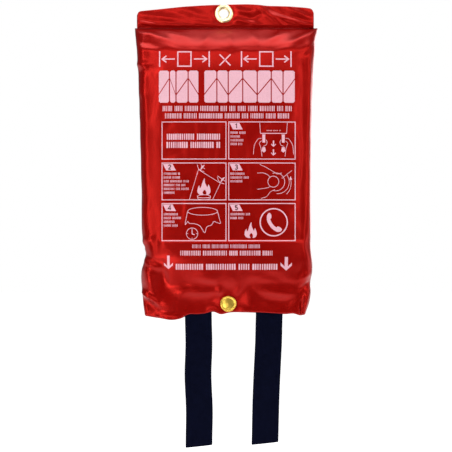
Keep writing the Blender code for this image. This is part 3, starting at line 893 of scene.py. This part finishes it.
def brass_pieces():
    """The eyelet and the press stud, from profiles of (radius, forward) points in millimetres."""
    pale = brass_material("eyelet_brass", rgb(255, 238, 190), rgb(226, 200, 140), 0.3)
    gold = brass_material("stud_gold", rgb(236, 198, 88), rgb(198, 158, 62), 0.34)
    dull = brass_material("stud_steel_brass", rgb(214, 190, 130), rgb(150, 126, 78), 0.33)
    bore, outer, under = EYELET_BORE / MM, EYELET_OUTER / MM, 2.7
    face = [
        (bore, 0.1), (bore + 0.6, 0.1), (bore + 0.6, under), (outer - 0.5, under), (outer, under + 0.15),
        (outer - 0.15, under + 0.5), (outer - 0.9, under + 0.85), (6.7, under + 0.98), (5.7, under + 0.86),
        (4.9, under + 0.45), (bore, under - 0.2),
    ]
    washer = [
        (bore + 0.9, 0.0), (outer, 0.0), (outer, 0.35), (outer - 0.35, 0.6), (6.2, 0.58), (bore + 0.9, 0.45),
    ]
    cap = [
        (0, -1.3), (1.3, -1.3), (1.3, 0.25), (4, 0.4), (6.9, 0.9), (7.4, 0.95), (7.5, 1.35),
        (7.35, 1.95), (6.8, 2.35), (6.2, 2.3), (5.7, 1.95), (5.2, 1.9), (3.6, 2.12), (1.8, 2.26),
        (0, 2.3),
    ]
    socket = [(1.6, -0.9), (5, -0.9), (5.5, -1.2), (5.5, -2.9), (3.6, -2.9), (3.6, -1.4), (1.6, -1.4)]
    male = [
        (1.2, -3.8), (4.8, -3.8), (4.8, -3.4), (1.7, -3.3), (1.7, -2.8), (2.0, -2.3), (1.2, -1.85),
        (0, -1.85), (0, -2.2), (1.2, -2.2),
    ]
    post = [(0, -5.0), (4.0, -5.0), (4.0, -4.65), (0.95, -4.65), (0.95, -2.6), (0, -2.6)]
    brass_piece("eyelet_flange", face, pale, "eyelet_brass", "header", "eyelet_face")
    brass_piece("eyelet_back_washer", washer, pale, "eyelet_brass", "header", "eyelet_washer")
    for name, profile, material, body, wobble in (
        ("cap", cap, gold, "mouth_flap", 0.012), ("socket", socket, dull, "mouth_flap", 0),
        ("male", male, dull, "pouch", 0), ("post", post, dull, "pouch", 0),
    ):
        brass_piece("stud_" + name, profile, material, "stud_gold", body, "press_stud_" + name, wobble)
    stud_spring(dull)


def stud_spring(material):
    """The open spring ring inside the socket."""
    ring_radius, wire_radius, depth = 3.05 * MM, 0.25 * MM, 2.4 * MM
    a = np.radians(np.linspace(20, 340, 80))[:, None]
    b = 2 * math.pi * np.arange(10)[None, :] / 10
    r = ring_radius + wire_radius * np.cos(b)
    rings = np.stack([r * np.cos(a), depth + wire_radius * np.sin(b) + 0 * a, r * np.sin(a)], axis=-1)
    mesh = tube_mesh("stud_spring", [rings])
    on_stud(mesh)
    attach(new_piece("stud_spring", mesh, material, "stud_gold", "press_stud_spring"), "mouth_flap")


# ---- Print -----------------------------------------------------------------------------------

PRINT_CELL = 1.5 * MM
INK_ROOT, INK_RISE, NUMERAL_RISE = 0.12 * MM, 0.07 * MM, 0.12 * MM
FINE_LINE = 0.45  # millimetres, as all that is printed


class Print:
    """Printed shapes as outlines in millimetres across the front and up from the mouth."""

    def __init__(self):
        self.outlines = []
        self.random = np.random.default_rng(11)

    def fill(self, *corners):
        self.outlines.append(list(corners))

    def bar(self, x0, h0, x1, h1, chamfer=0.0):
        c = chamfer
        if c:
            self.fill((x0 + c, h0), (x1 - c, h0), (x1, h0 + c), (x1, h1 - c),
                      (x1 - c, h1), (x0 + c, h1), (x0, h1 - c), (x0, h0 + c))
        else:
            self.fill((x0, h0), (x1, h0), (x1, h1), (x0, h1))

    def cut_block(self, x0, h0, x1, h1, lean):
        """A tall block with chamfered corners, cut in two by a slanting line."""
        c, gap, middle = 1.3, 0.75, (h0 + h1) / 2
        left, right = middle - lean, middle + lean
        self.fill((x0, h0 + c), (x0 + c, h0), (x1 - c, h0), (x1, h0 + c),
                  (x1, right - gap), (x0, left - gap))
        self.fill((x0, left + gap), (x1, right + gap), (x1, h1 - c), (x1 - c, h1),
                  (x0 + c, h1), (x0, h1 - c))

    def stroke(self, points, width, closed=False):
        """A line of the given width through the points, as a strip of quads."""
        p = np.array(points, float)
        before = np.roll(p, 1, axis=0) if closed else np.vstack([2 * p[0] - p[1], p[:-1]])
        after = np.roll(p, -1, axis=0) if closed else np.vstack([p[1:], 2 * p[-1] - p[-2]])
        a, b = p - before, after - p
        a /= np.linalg.norm(a, axis=1, keepdims=True)
        b /= np.linalg.norm(b, axis=1, keepdims=True)
        normal = np.stack([-(a + b)[:, 1], (a + b)[:, 0]], axis=1)
        normal /= np.linalg.norm(normal, axis=1, keepdims=True)
        mitre = 1 / np.clip(np.abs(normal[:, 0] * -a[:, 1] + normal[:, 1] * a[:, 0]), 0.5, 1)
        off = normal * (mitre * width / 2)[:, None]
        one, other = p + off, p - off
        last = len(p) if closed else len(p) - 1
        for i in range(last):
            n = (i + 1) % len(p)
            self.fill(one[i], one[n], other[n], other[i])

    def draw(self, *points, width=FINE_LINE, steps=6):
        """A line along an open smooth curve through the points."""
        self.stroke(self.curve(points, False, steps), width)

    def ring(self, x, h, radius, width, squash=1.0, start=0, end=360):
        steps = max(int((end - start) / 9), 6)
        closed = end - start == 360
        angles = np.radians(np.linspace(start, end, steps + (not closed), endpoint=not closed))
        points = [(x + radius * math.cos(a), h + squash * radius * math.sin(a)) for a in angles]
        self.stroke(points, width, closed)

    def curve(self, points, closed=True, steps=6):
        """Points on a smooth line through the given ones."""
        p = np.array(points, float)
        if not closed:
            p = np.vstack([2 * p[0] - p[1], p, 2 * p[-1] - p[-2]])
        out = []
        spans = range(len(p)) if closed else range(1, len(p) - 2)
        for i in spans:
            q = [p[(i + k) % len(p)] for k in (-1, 0, 1, 2)]
            for t in np.arange(steps) / steps:
                out.append(tuple(0.5 * (
                    2 * q[1] + (q[2] - q[0]) * t + (2 * q[0] - 5 * q[1] + 4 * q[2] - q[3]) * t**2
                    + (3 * q[1] - q[0] - 3 * q[2] + q[3]) * t**3
                )))
        if not closed:
            out.append(tuple(p[-2]))
        return out

    def greeked(self, x0, x1, low, high, pitch, fill=0.6, chamfer=0.0):
        """A line of letter-sized blocks in words, with no letters in it."""
        cells = int(round((x1 - x0) / pitch))
        pitch = (x1 - x0) / cells
        left, word = 0, int(self.random.integers(5, 14))
        for i in range(cells):
            if left == word and cells - i > 2:
                left, word = 0, int(self.random.integers(4, 15))
                continue
            left += 1
            width = pitch * fill * self.random.uniform(0.7, 1.25)
            x = x0 + (i + 0.5) * pitch - width / 2
            self.bar(x, low, x + width, high, chamfer)

    def arrow_down(self, x, low, high, width):
        """A solid arrow with a wide open head."""
        right = [(0, 0), (0.5, 0.44), (0.5, 0.7), (0.14, 0.36), (0.14, (high - low) / width)]
        left = [(-a, b) for a, b in reversed(right[1:])]
        self.fill(*[(x + a * width, low + b * width) for a, b in right + left])

    def flame(self, x, low, size):
        """A flame of three tongues with an open heart."""
        shape = [
            (-0.02, 0.0), (-0.28, 0.03), (-0.42, 0.2), (-0.40, 0.42), (-0.30, 0.62), (-0.26, 0.44),
            (-0.17, 0.56), (-0.10, 0.80), (0.04, 1.08), (0.06, 0.84), (0.13, 0.66), (0.22, 0.50),
            (0.29, 0.68), (0.39, 0.46), (0.42, 0.22), (0.32, 0.05), (0.14, 0.0), (0.16, 0.16),
            (0.05, 0.34), (-0.09, 0.17),
        ]
        self.fill(*[(x + a * size, low + b * size) for a, b in self.curve(shape, steps=3)])


def title_marks(p):
    """Two square-and-width marks with a cross between them."""
    low, high, line = 224.2, 238.6, 1.15
    middle = (low + high) / 2
    for x in (-60.2, 14.4):
        for end, way in ((x + 0.6, 1), (x + 45.8, -1)):
            tip, wing = end + 2.3 * way, end + 6.2 * way
            p.stroke([(end, low), (end, high)], line)
            p.stroke([(end + 3 * way, middle), (end + 13.9 * way, middle)], line)
            p.stroke([(wing, middle + 3), (tip, middle), (wing, middle - 3)], line)
        left, right, inset = x + 17.2, x + 29.2, 0.6
        square = [(left, low + inset), (right, low + inset), (right, high - inset), (left, high - inset)]
        p.stroke(square, line, closed=True)
    p.stroke([(-5.0, 225.4), (5.0, 235.6)], line)
    p.stroke([(-5.0, 235.6), (-0.7, 231.2)], line)
    p.stroke([(0.7, 229.8), (5.0, 225.4)], line)


def heading_blocks(p):
    """Two rows of tall blocks, in a group of four and a group of seven."""
    low, high, lean, gap = 191.6, 220.8, 7, 1.0
    groups = ((-60.3, -24.3, (8.6, 4.6, 9.4, 8.2)), (-18.8, 63.6, (9.8, 8.4, 11, 11, 10.6, 8.8, 9.2)))
    for x0, x1, widths in groups:
        scale = (x1 - x0 - gap * (len(widths) - 1)) / sum(widths)
        x = x0
        for i, width in enumerate(widths):
            width *= scale
            p.cut_block(x, low, x + width, high, (lean, -lean)[i % 2])
            x += width + gap


# The panels by step number, with the title's as 0: left, low, right and high edge
PANELS = {
    0: (-57.9, 139.7, 1.4, 174.5), 1: (2.9, 139.7, 64.5, 174.5), 2: (-57.9, 102.5, 1.4, 137.1),
    3: (2.9, 102.5, 64.5, 137.1), 4: (-57.9, 65.3, 1.4, 100.2), 5: (2.9, 65.3, 64.5, 100.2),
}


def panel_frames(p):
    inset, line = 0.5, 0.8
    for x0, h0, x1, h1 in PANELS.values():
        left, low, right, high = x0 + inset, h0 + inset, x1 - inset, h1 - inset
        p.stroke([(left, low), (right, low), (right, high), (left, high)], line, closed=True)


def panel_tags(p):
    """A slanted tag in the upper left corner of each numbered panel."""
    for number, (x0, _, _, h1) in PANELS.items():
        if number:
            high, low = h1 - 1.3, h1 - 7.3
            p.fill((x0 + 1.3, high), (x0 + 4.3, low), (x0 + 13.2, low), (x0 + 10.0, high))


def numerals():
    """The step numbers 1 to 5, one on each tag."""
    p = Print()
    two = [(-1.1, 1.1), (-0.2, 2.0), (0.9, 1.3), (0.6, 0.1), (-0.5, -1.1), (-1.15, -2.0)]
    three_over = [(-1.1, 1.5), (0, 2.0), (0.95, 1.2), (0.55, 0.25), (-0.2, 0.1)]
    three_under = [(-0.2, 0.1), (0.7, -0.1), (1.1, -1.0), (0.1, -2.0), (-1.1, -1.5)]
    five = [(-0.95, 0.2), (0.2, 0.45), (1.1, -0.6), (0.3, -1.9), (-1.1, -1.55)]
    shapes = {
        1: [[(-0.7, 1.2), (0.25, 2.0), (0.25, -2.0)]],
        2: [p.curve(two, False), [(-1.3, -1.85), (1.25, -1.85)]],
        3: [p.curve(three_over, False), p.curve(three_under, False)],
        4: [[(0.55, -2.0), (0.55, 2.0), (-1.3, -0.9), (1.35, -0.9)]],
        5: [[(1.05, 1.85), (-0.85, 1.85), (-0.95, 0.2)], p.curve(five, False)],
    }
    for number, lines in shapes.items():
        x0, _, _, h1 = PANELS[number]
        for line in lines:
            p.stroke([(x0 + 7.4 + x, h1 - 4.3 + h) for x, h in line], 0.95)
    return p


def captions(p):
    """Short lines of small blocks under the tags."""
    lines = {
        1: (14, 9, 12, 11), 2: (15, 15, 23, 20, 23, 10), 3: (13, 17, 11), 4: (13, 16, 10, 13), 5: (18, 12),
    }
    line_pitch, letter_height = 3.45, 2.1
    for number, widths in lines.items():
        x0, _, _, h1 = PANELS[number]
        for i, width in enumerate(widths):
            left, top = x0 + 1.9, h1 - 9.2 - line_pitch * i
            p.greeked(left, left + width, top - letter_height, top, 1.0, 0.5)


def picture_pull(p):
    """Panel 1: a pouch's lower edge, a hand at each tab, and arrows down."""
    middle = 44.2
    for side in (-1, 1):
        x = middle + side * 8.9

        def mirrored(*points):
            return [(x + side * a, h) for a, h in points]

        p.stroke([(middle + side * 12.6, 173.2), (middle + side * 11.9, 163.4)], FINE_LINE)
        p.fill((x - 1.4, 162.6), (x + 1.4, 162.6), (x + 1.2, 155.2), (x - 1.2, 155.2))
        p.draw(*mirrored((9.4, 144.5), (8.6, 152.5), (5.2, 158.4), (2.1, 159.0)))
        p.draw(*mirrored((1.9, 156.8), (4.0, 154.6), (2.6, 150.2), (1.6, 142.6)))
        p.draw(*mirrored((-1.9, 157.9), (-3.0, 155.7), (-2.1, 153.0), (0.4, 151.8)))
        p.fill((x - 1.2, 151.0), (x + 1.2, 151.0), (x + 1.9, 147.6), (x, 146.2), (x - 1.9, 147.6))
    p.stroke([(32.3, 163.6), (56.1, 163.6)], 0.7)
    p.greeked(37.5, 51, 165.7, 166.6, 0.9, 0.5)
    for low in (151.4, 143.4):
        p.arrow_down(middle, low, low + 5.6, 4.2)


def picture_cover(p):
    """Panel 2: a blanket held up by its corners behind a burning pan."""
    p.stroke([(-32.4, 103.6), (-24.2, 130.6), (-4.2, 118.2), (-11.2, 103.6)], FINE_LINE)
    for x, h, side in ((-23.6, 130.4, 1), (-5.2, 119.2, -1)):
        p.draw((x - 1.8, h + 4.8), (x - 0.6, h + 1.2), (x + 2.2, h - 1.0), (x + 4.6, h - 1.6))
        p.draw((x + 1.6 * side, h + 5.6), (x + 2.6, h + 2.6), (x + 5.4, h + 0.9))
        thumb = [(x + 1.2, h - 0.2), (x + 3.4, h + 1.8), (x + 5.0, h + 4.4), (x + 2.2, h + 3.0)]
        p.fill(*p.curve(thumb, steps=3))
    p.flame(-19.2, 107.4, 14.2)
    p.ring(-19.2, 106.2, 6.0, 0.5, 0.24)
    pan = ((-25.2, 105.9), (-24.2, 103.9), (-19.2, 103.2), (-14.2, 103.9), (-13.2, 105.9))
    p.draw(*pan, width=0.5)


def picture_knob(p):
    """Panel 3: a round control knob, two fingers on it, and the way to turn it."""
    p.ring(44.0, 119.6, 5.0, 0.52)
    p.ring(46.2, 119.4, 8.2, 0.48, 1.0, -110, 110)
    p.ring(48.0, 119.2, 10.6, 0.45, 1.0, -95, 40)
    p.draw((31.6, 135.4), (38.2, 132.2), (44.2, 128.6), (48.0, 126.6), (51.6, 127.4))
    p.draw((29.4, 127.4), (34.6, 127.6), (38.8, 125.8), (41.0, 123.8))
    p.draw((29.4, 112.6), (34.8, 113.4), (39.2, 114.2), (41.4, 115.6))
    p.draw((32.8, 104.2), (38.0, 106.2), (41.2, 110.2), (45.4, 112.4))
    p.stroke([(51.8, 122.6), (61.0, 129.8)], FINE_LINE)
    p.draw((56.2, 108.2), (59.2, 112.6), (60.2, 118.0), (59.8, 122.0))
    p.fill((58.5, 121.4), (61.1, 121.4), (59.8, 124.6))


def picture_wait(p):
    """Panel 4: the blanket left lying over a pan, and a clock."""
    p.ring(-20.4, 92.6, 13.6, 0.5, 0.26)
    hem = [
        (-34.1, 92.4), (-35.4, 86.0), (-36.2, 80.4), (-34.0, 83.2), (-32.2, 81.6), (-27.6, 81.2),
        (-22.6, 79.0), (-18.6, 73.0), (-16.6, 78.4), (-12.4, 80.0), (-10.2, 83.2), (-7.4, 82.4),
        (-4.2, 81.8), (-5.4, 87.0), (-6.8, 92.4),
    ]
    p.draw(*hem, width=0.5, steps=4)
    x, h = -30.0, 72.2
    p.ring(x, h, 5.2, 0.5)
    p.stroke([(x, h + 3.8), (x, h - 0.2), (x + 2.4, h - 1.0)], 0.75)
    for quarter in range(4):
        c, s = math.cos(quarter * math.pi / 2), math.sin(quarter * math.pi / 2)
        p.stroke([(x + r * c, h + r * s) for r in (3.7, 4.7)], 0.5)


def picture_call(p):
    """Panel 5: a flame beside a handset in a circle."""
    p.flame(23.4, 68.4, 13.2)
    p.ring(44.4, 82.6, 12.4, 1.15)
    handset = [
        (38.6, 89.6), (40.4, 91.2), (42.2, 89.2), (42.0, 86.4), (41.2, 85.2), (43.2, 81.2), (46.6, 78.0),
        (48.2, 78.8), (50.8, 77.6), (51.8, 75.6), (50.0, 74.0), (46.6, 74.2), (42.2, 77.4), (38.9, 82.4),
        (38.0, 86.6),
    ]
    p.fill(*p.curve(handset, steps=4))


def front_print():
    p = Print()
    title_marks(p)
    heading_blocks(p)
    p.greeked(-57.2, 61.1, 183.9, 188.6, 1.55, 0.56)
    p.greeked(-55.1, 58.7, 177.2, 181.9, 1.55, 0.56)
    panel_frames(p)
    panel_tags(p)
    for low in (157.8, 150.3):
        p.greeked(-53.6, -4.2, low, low + 5.5, 2.0, 0.66, chamfer=0.2)
    captions(p)
    for picture in (picture_pull, picture_cover, picture_knob, picture_wait, picture_call):
        picture(p)
    p.greeked(-30.1, 31.9, 59.0, 62.4, 1.2, 0.42)
    p.greeked(-41.1, 43.6, 52.3, 56.7, 1.6, 0.58)
    p.greeked(-45.3, 48.1, 39.2, 44.6, 2.1, 0.68, chamfer=0.2)
    p.arrow_down(-51.7, 39.8, 52.2, 8.1)
    p.arrow_down(55.9, 38.5, 51.0, 10.4)
    return p


def cut_to_cells(outline):
    """A flat bmesh of the outline, cut on a grid so that it can follow the sheet."""
    bm = bmesh.new()
    corners = [Vector((x * MM, 0, h * MM)) for x, h in outline]
    verts = [bm.verts.new(corner) for corner in corners]
    for triangle in geometry.tessellate_polygon([corners]):
        bm.faces.new([verts[i] for i in triangle])
    for axis in (0, 2):
        places = [corner[axis] for corner in corners]
        first = math.ceil(min(places) / PRINT_CELL) * PRINT_CELL
        for at in np.arange(first, max(places), PRINT_CELL):
            normal = Vector((axis == 0, 0, axis == 2))
            everything = bm.verts[:] + bm.edges[:] + bm.faces[:]
            bmesh.ops.bisect_plane(bm, geom=everything, plane_co=normal * at, plane_no=normal, dist=1e-7)
    return bm


def printed_mesh(name, outlines, surface, proud):
    """The outlines as thin closed films lying on the sheet."""
    points, faces = [], []
    for outline in outlines:
        bm = cut_to_cells(outline)
        made = bmesh.ops.extrude_face_region(bm, geom=list(bm.faces))
        raised = {v for v in made["geom"] if isinstance(v, bmesh.types.BMVert)}
        bm.verts.index_update()
        start = len(points)
        for v in bm.verts:
            origin = Vector((v.co.x, -0.1, MOUTH_Z + v.co.z))
            hit = surface.ray_cast(origin, Vector((0, 1, 0)))[0]
            points.append((origin.x, hit.y - (proud if v in raised else -INK_ROOT), origin.z))
        faces += [[start + v.index for v in face.verts] for face in bm.faces]
        bm.free()
    return closed_mesh(name, points, faces)


# ---- Building the pieces ---------------------------------------------------------------------

def build_pouch():
    """The front sheet, the back sheet, the header and its seam; gives back the front to print on."""
    pvc = pvc_material()
    outer, inner, keep = front_sheet()
    mesh = slab_mesh("front_sheet", outer, inner, keep)
    sheet = new_piece("front_sheet", mesh, pvc, "red_pvc", "front_panel", "mouth_flap")
    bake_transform(sheet)
    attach(new_piece("back_sheet", back_sheet(), pvc, "red_pvc", "back_panel"), "pouch")

    layers = (
        ("header_front_sheet", SEAM_DEPTH, SEAM + 0.05 * MM, "header_front_layer"),
        ("header_back_sheet", SEAM_DEPTH - 0.9 * MM, SEAM - 3 * MM, "header_back_layer"),
    )
    for name, front, low, node in layers:
        layer = new_piece(name, header_layer(name, front, low), pvc, "red_pvc", node)
        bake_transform(layer)
    faces = grid_faces(*outer.shape[:2])[keep.ravel()]
    return BVHTree.FromPolygons(outer.reshape(-1, 3).tolist(), faces.tolist())


def build_print(surface):
    """The white print, and the dark numerals on its tags, laid on the front sheet's surface."""
    ink = ink_material("print_ink", rgb(198, 151, 162), rgb(184, 135, 147), 0.42, 0.35, 0.75)
    dark = ink_material("numeral_ink", rgb(84, 22, 28), rgb(64, 12, 18), 0.45)
    for name, shapes, material, proud in (
        ("front_print", front_print(), ink, INK_RISE), ("tag_numerals", numerals(), dark, NUMERAL_RISE),
    ):
        piece = new_object(name, printed_mesh(name, shapes.outlines, surface, proud), material)
        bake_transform(piece)


def build_inside():
    """The blanket, and a strap on each side of its middle."""
    webbing, cloth = webbing_material(), cloth_material()
    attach(new_piece("blanket_pack", blanket_mesh(), cloth, "glass_cloth", "blanket"), "blanket")
    for side in ("left", "right"):
        nodes = (side + "_strap_root", side + "_pull_tab")
        strap = new_piece(side + "_strap", strap_mesh(side), webbing, "navy_webbing", *nodes)
        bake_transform(strap)


def build_sewing():
    """The header's seam, and the box and cross on each strap."""
    thread = thread_material()
    rows = [("seam_stitches", seam_spans(), 0.33 * MM, "header_seam_thread", "pouch")]
    for side in ("left", "right"):
        node = side + "_strap_stitching"
        low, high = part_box(node)
        middle, half = (low + high) / 2, (high.x - low.x) / 2 - 0.5 * MM
        spans = box_spans(middle.x, middle.z, half, -2.35 * MM)
        rows.append((side + "_box_stitches", spans, 0.34 * MM, node, "blanket"))
    for name, spans, radius, node, body in rows:
        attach(new_piece(name, stitches(name, spans, radius), thread, "sewing_thread", node), body)


# ---- Stage -----------------------------------------------------------------------------------

CAMERA_DISTANCE = 1.2
VIEW_WIDTH = 0.4186
VIEW_CENTRE = Vector((0.0009, 0, -0.0518))
FRONT_OFFSET = 3.3 * MM
FLOOR_Z = -0.53
FLOOR_SIZE = 16
# Softboxes: place, target, (width, height), watts
LIGHTS = {
    "left": ((-0.62, -1.2, 0.1), (0, 0, 0), (0.3, 1.2), 7),
    "right": ((0.72, -1.1, 0.1), (0, 0, 0), (0.2, 1.2), 4.5),
    "side": ((1.3, -0.35, 0.1), (0, 0, 0), (0.4, 1.3), 5),
    "low_left": ((-0.27, -0.5, -0.44), (-0.06, 0, -0.1), (0.3, 0.14), 1.4),
    "upper": ((0, -1.15, 0.5), (0, 0, 0.05), (1.3, 0.2), 5.5),
    "top": ((0, -0.3, 1.3), (0, 0, 0.05), (1.3, 0.7), 15),
    "back": ((0.85, 1.15, 0.4), (0, 0, 0), (0.9, 1.1), 14),
}


def build_camera():
    camera = bpy.data.cameras.new("camera")
    camera.sensor_width = 36
    camera.lens = 36 * CAMERA_DISTANCE / VIEW_WIDTH
    camera.clip_start, camera.clip_end = 0.05, 50
    obj = bpy.data.objects.new("camera", camera)
    obj.location = VIEW_CENTRE - Vector((0, CAMERA_DISTANCE + FRONT_OFFSET, 0))
    obj.rotation_euler = (math.pi / 2, 0, 0)
    bpy.context.scene.collection.objects.link(obj)
    bpy.context.scene.camera = obj
    bpy.context.scene.view_settings.view_transform = "Standard"


def area_light(name, place, target, size, watts):
    light = bpy.data.lights.new(name, "AREA")
    light.shape = "RECTANGLE"
    light.size, light.size_y = size
    light.energy = watts
    obj = bpy.data.objects.new(name, light)
    obj.location = place
    obj.rotation_euler = (Vector(target) - Vector(place)).to_track_quat("-Z", "Y").to_euler()
    bpy.context.scene.collection.objects.link(obj)


def build_world():
    """A dim room, darker still behind the camera, that the camera itself sees as pure white."""
    world = bpy.data.worlds.new("studio")
    bpy.context.scene.world = world
    n = Nodes(world, "Background")
    place = n.add("SeparateXYZ", {"Vector": n.add("TexCoord").outputs["Generated"]})
    span = {"Value": place.outputs["Y"], 1: -0.98, 2: -0.78, 3: 0.03, 4: 0.2}
    room = n.add("MapRange", span, interpolation_type="SMOOTHSTEP").outputs[0]
    from_camera = n.add("LightPath").outputs["Is Camera Ray"]
    n.finish(Color=n.add("Mix", {"Factor": from_camera, 2: room, 3: 1.0}).outputs[0], Strength=1.0)


def floor_material():
    """Pale, pure white to the camera, and near the pouch also in its reflections, a painted reflection;
    farther off its reflections are painted nearly black.
    """
    n = Nodes("pale_floor")
    shade = n.spread(n.noise(3, 2, 0.5), 0.86, 0.9)
    rays = n.add("LightPath").outputs
    place = n.add("SeparateXYZ", {"Vector": n.coordinates()})
    near = n.spread(place.outputs["Y"], 0, 1, -0.42, -0.22)
    # Painted dark reflection: glossy rays far from the pouch see the floor nearly black.
    far_glossy = n.math("MULTIPLY", rays["Is Glossy Ray"], n.math("SUBTRACT", 1.0, near))
    pale = n.add("CombineColor", {0: shade, 1: shade, 2: shade}).outputs[0]
    colour = n.mix(far_glossy, pale, (0.05, 0.05, 0.05, 1))
    # Camera rays see the floor glow evenly white; glossy rays near the pouch see it glow too, a painted
    # reflection on the lower flap.
    glow = n.math("MAXIMUM", rays["Is Camera Ray"], n.math("MULTIPLY", rays["Is Glossy Ray"], near))
    glow = n.math("MULTIPLY", glow, 0.95)
    white = (1, 1, 1, 1)
    return n.finish(Base_Color=colour, Roughness=0.8, Emission_Color=white, Emission_Strength=glow)


def build_floor():
    mesh = bpy.data.meshes.new("floor")
    half = FLOOR_SIZE / 2
    corners = [(x, y, FLOOR_Z) for x, y in ((-half, -half), (half, -half), (half, half), (-half, half))]
    mesh.from_pydata(corners, [], [(0, 1, 2, 3)])
    new_object("floor", mesh, floor_material())


build_print(build_pouch())
build_inside()
build_sewing()
brass_pieces()
build_camera()
build_world()
for light_name, settings in LIGHTS.items():
    area_light(light_name + "_softbox", *settings)
build_floor()
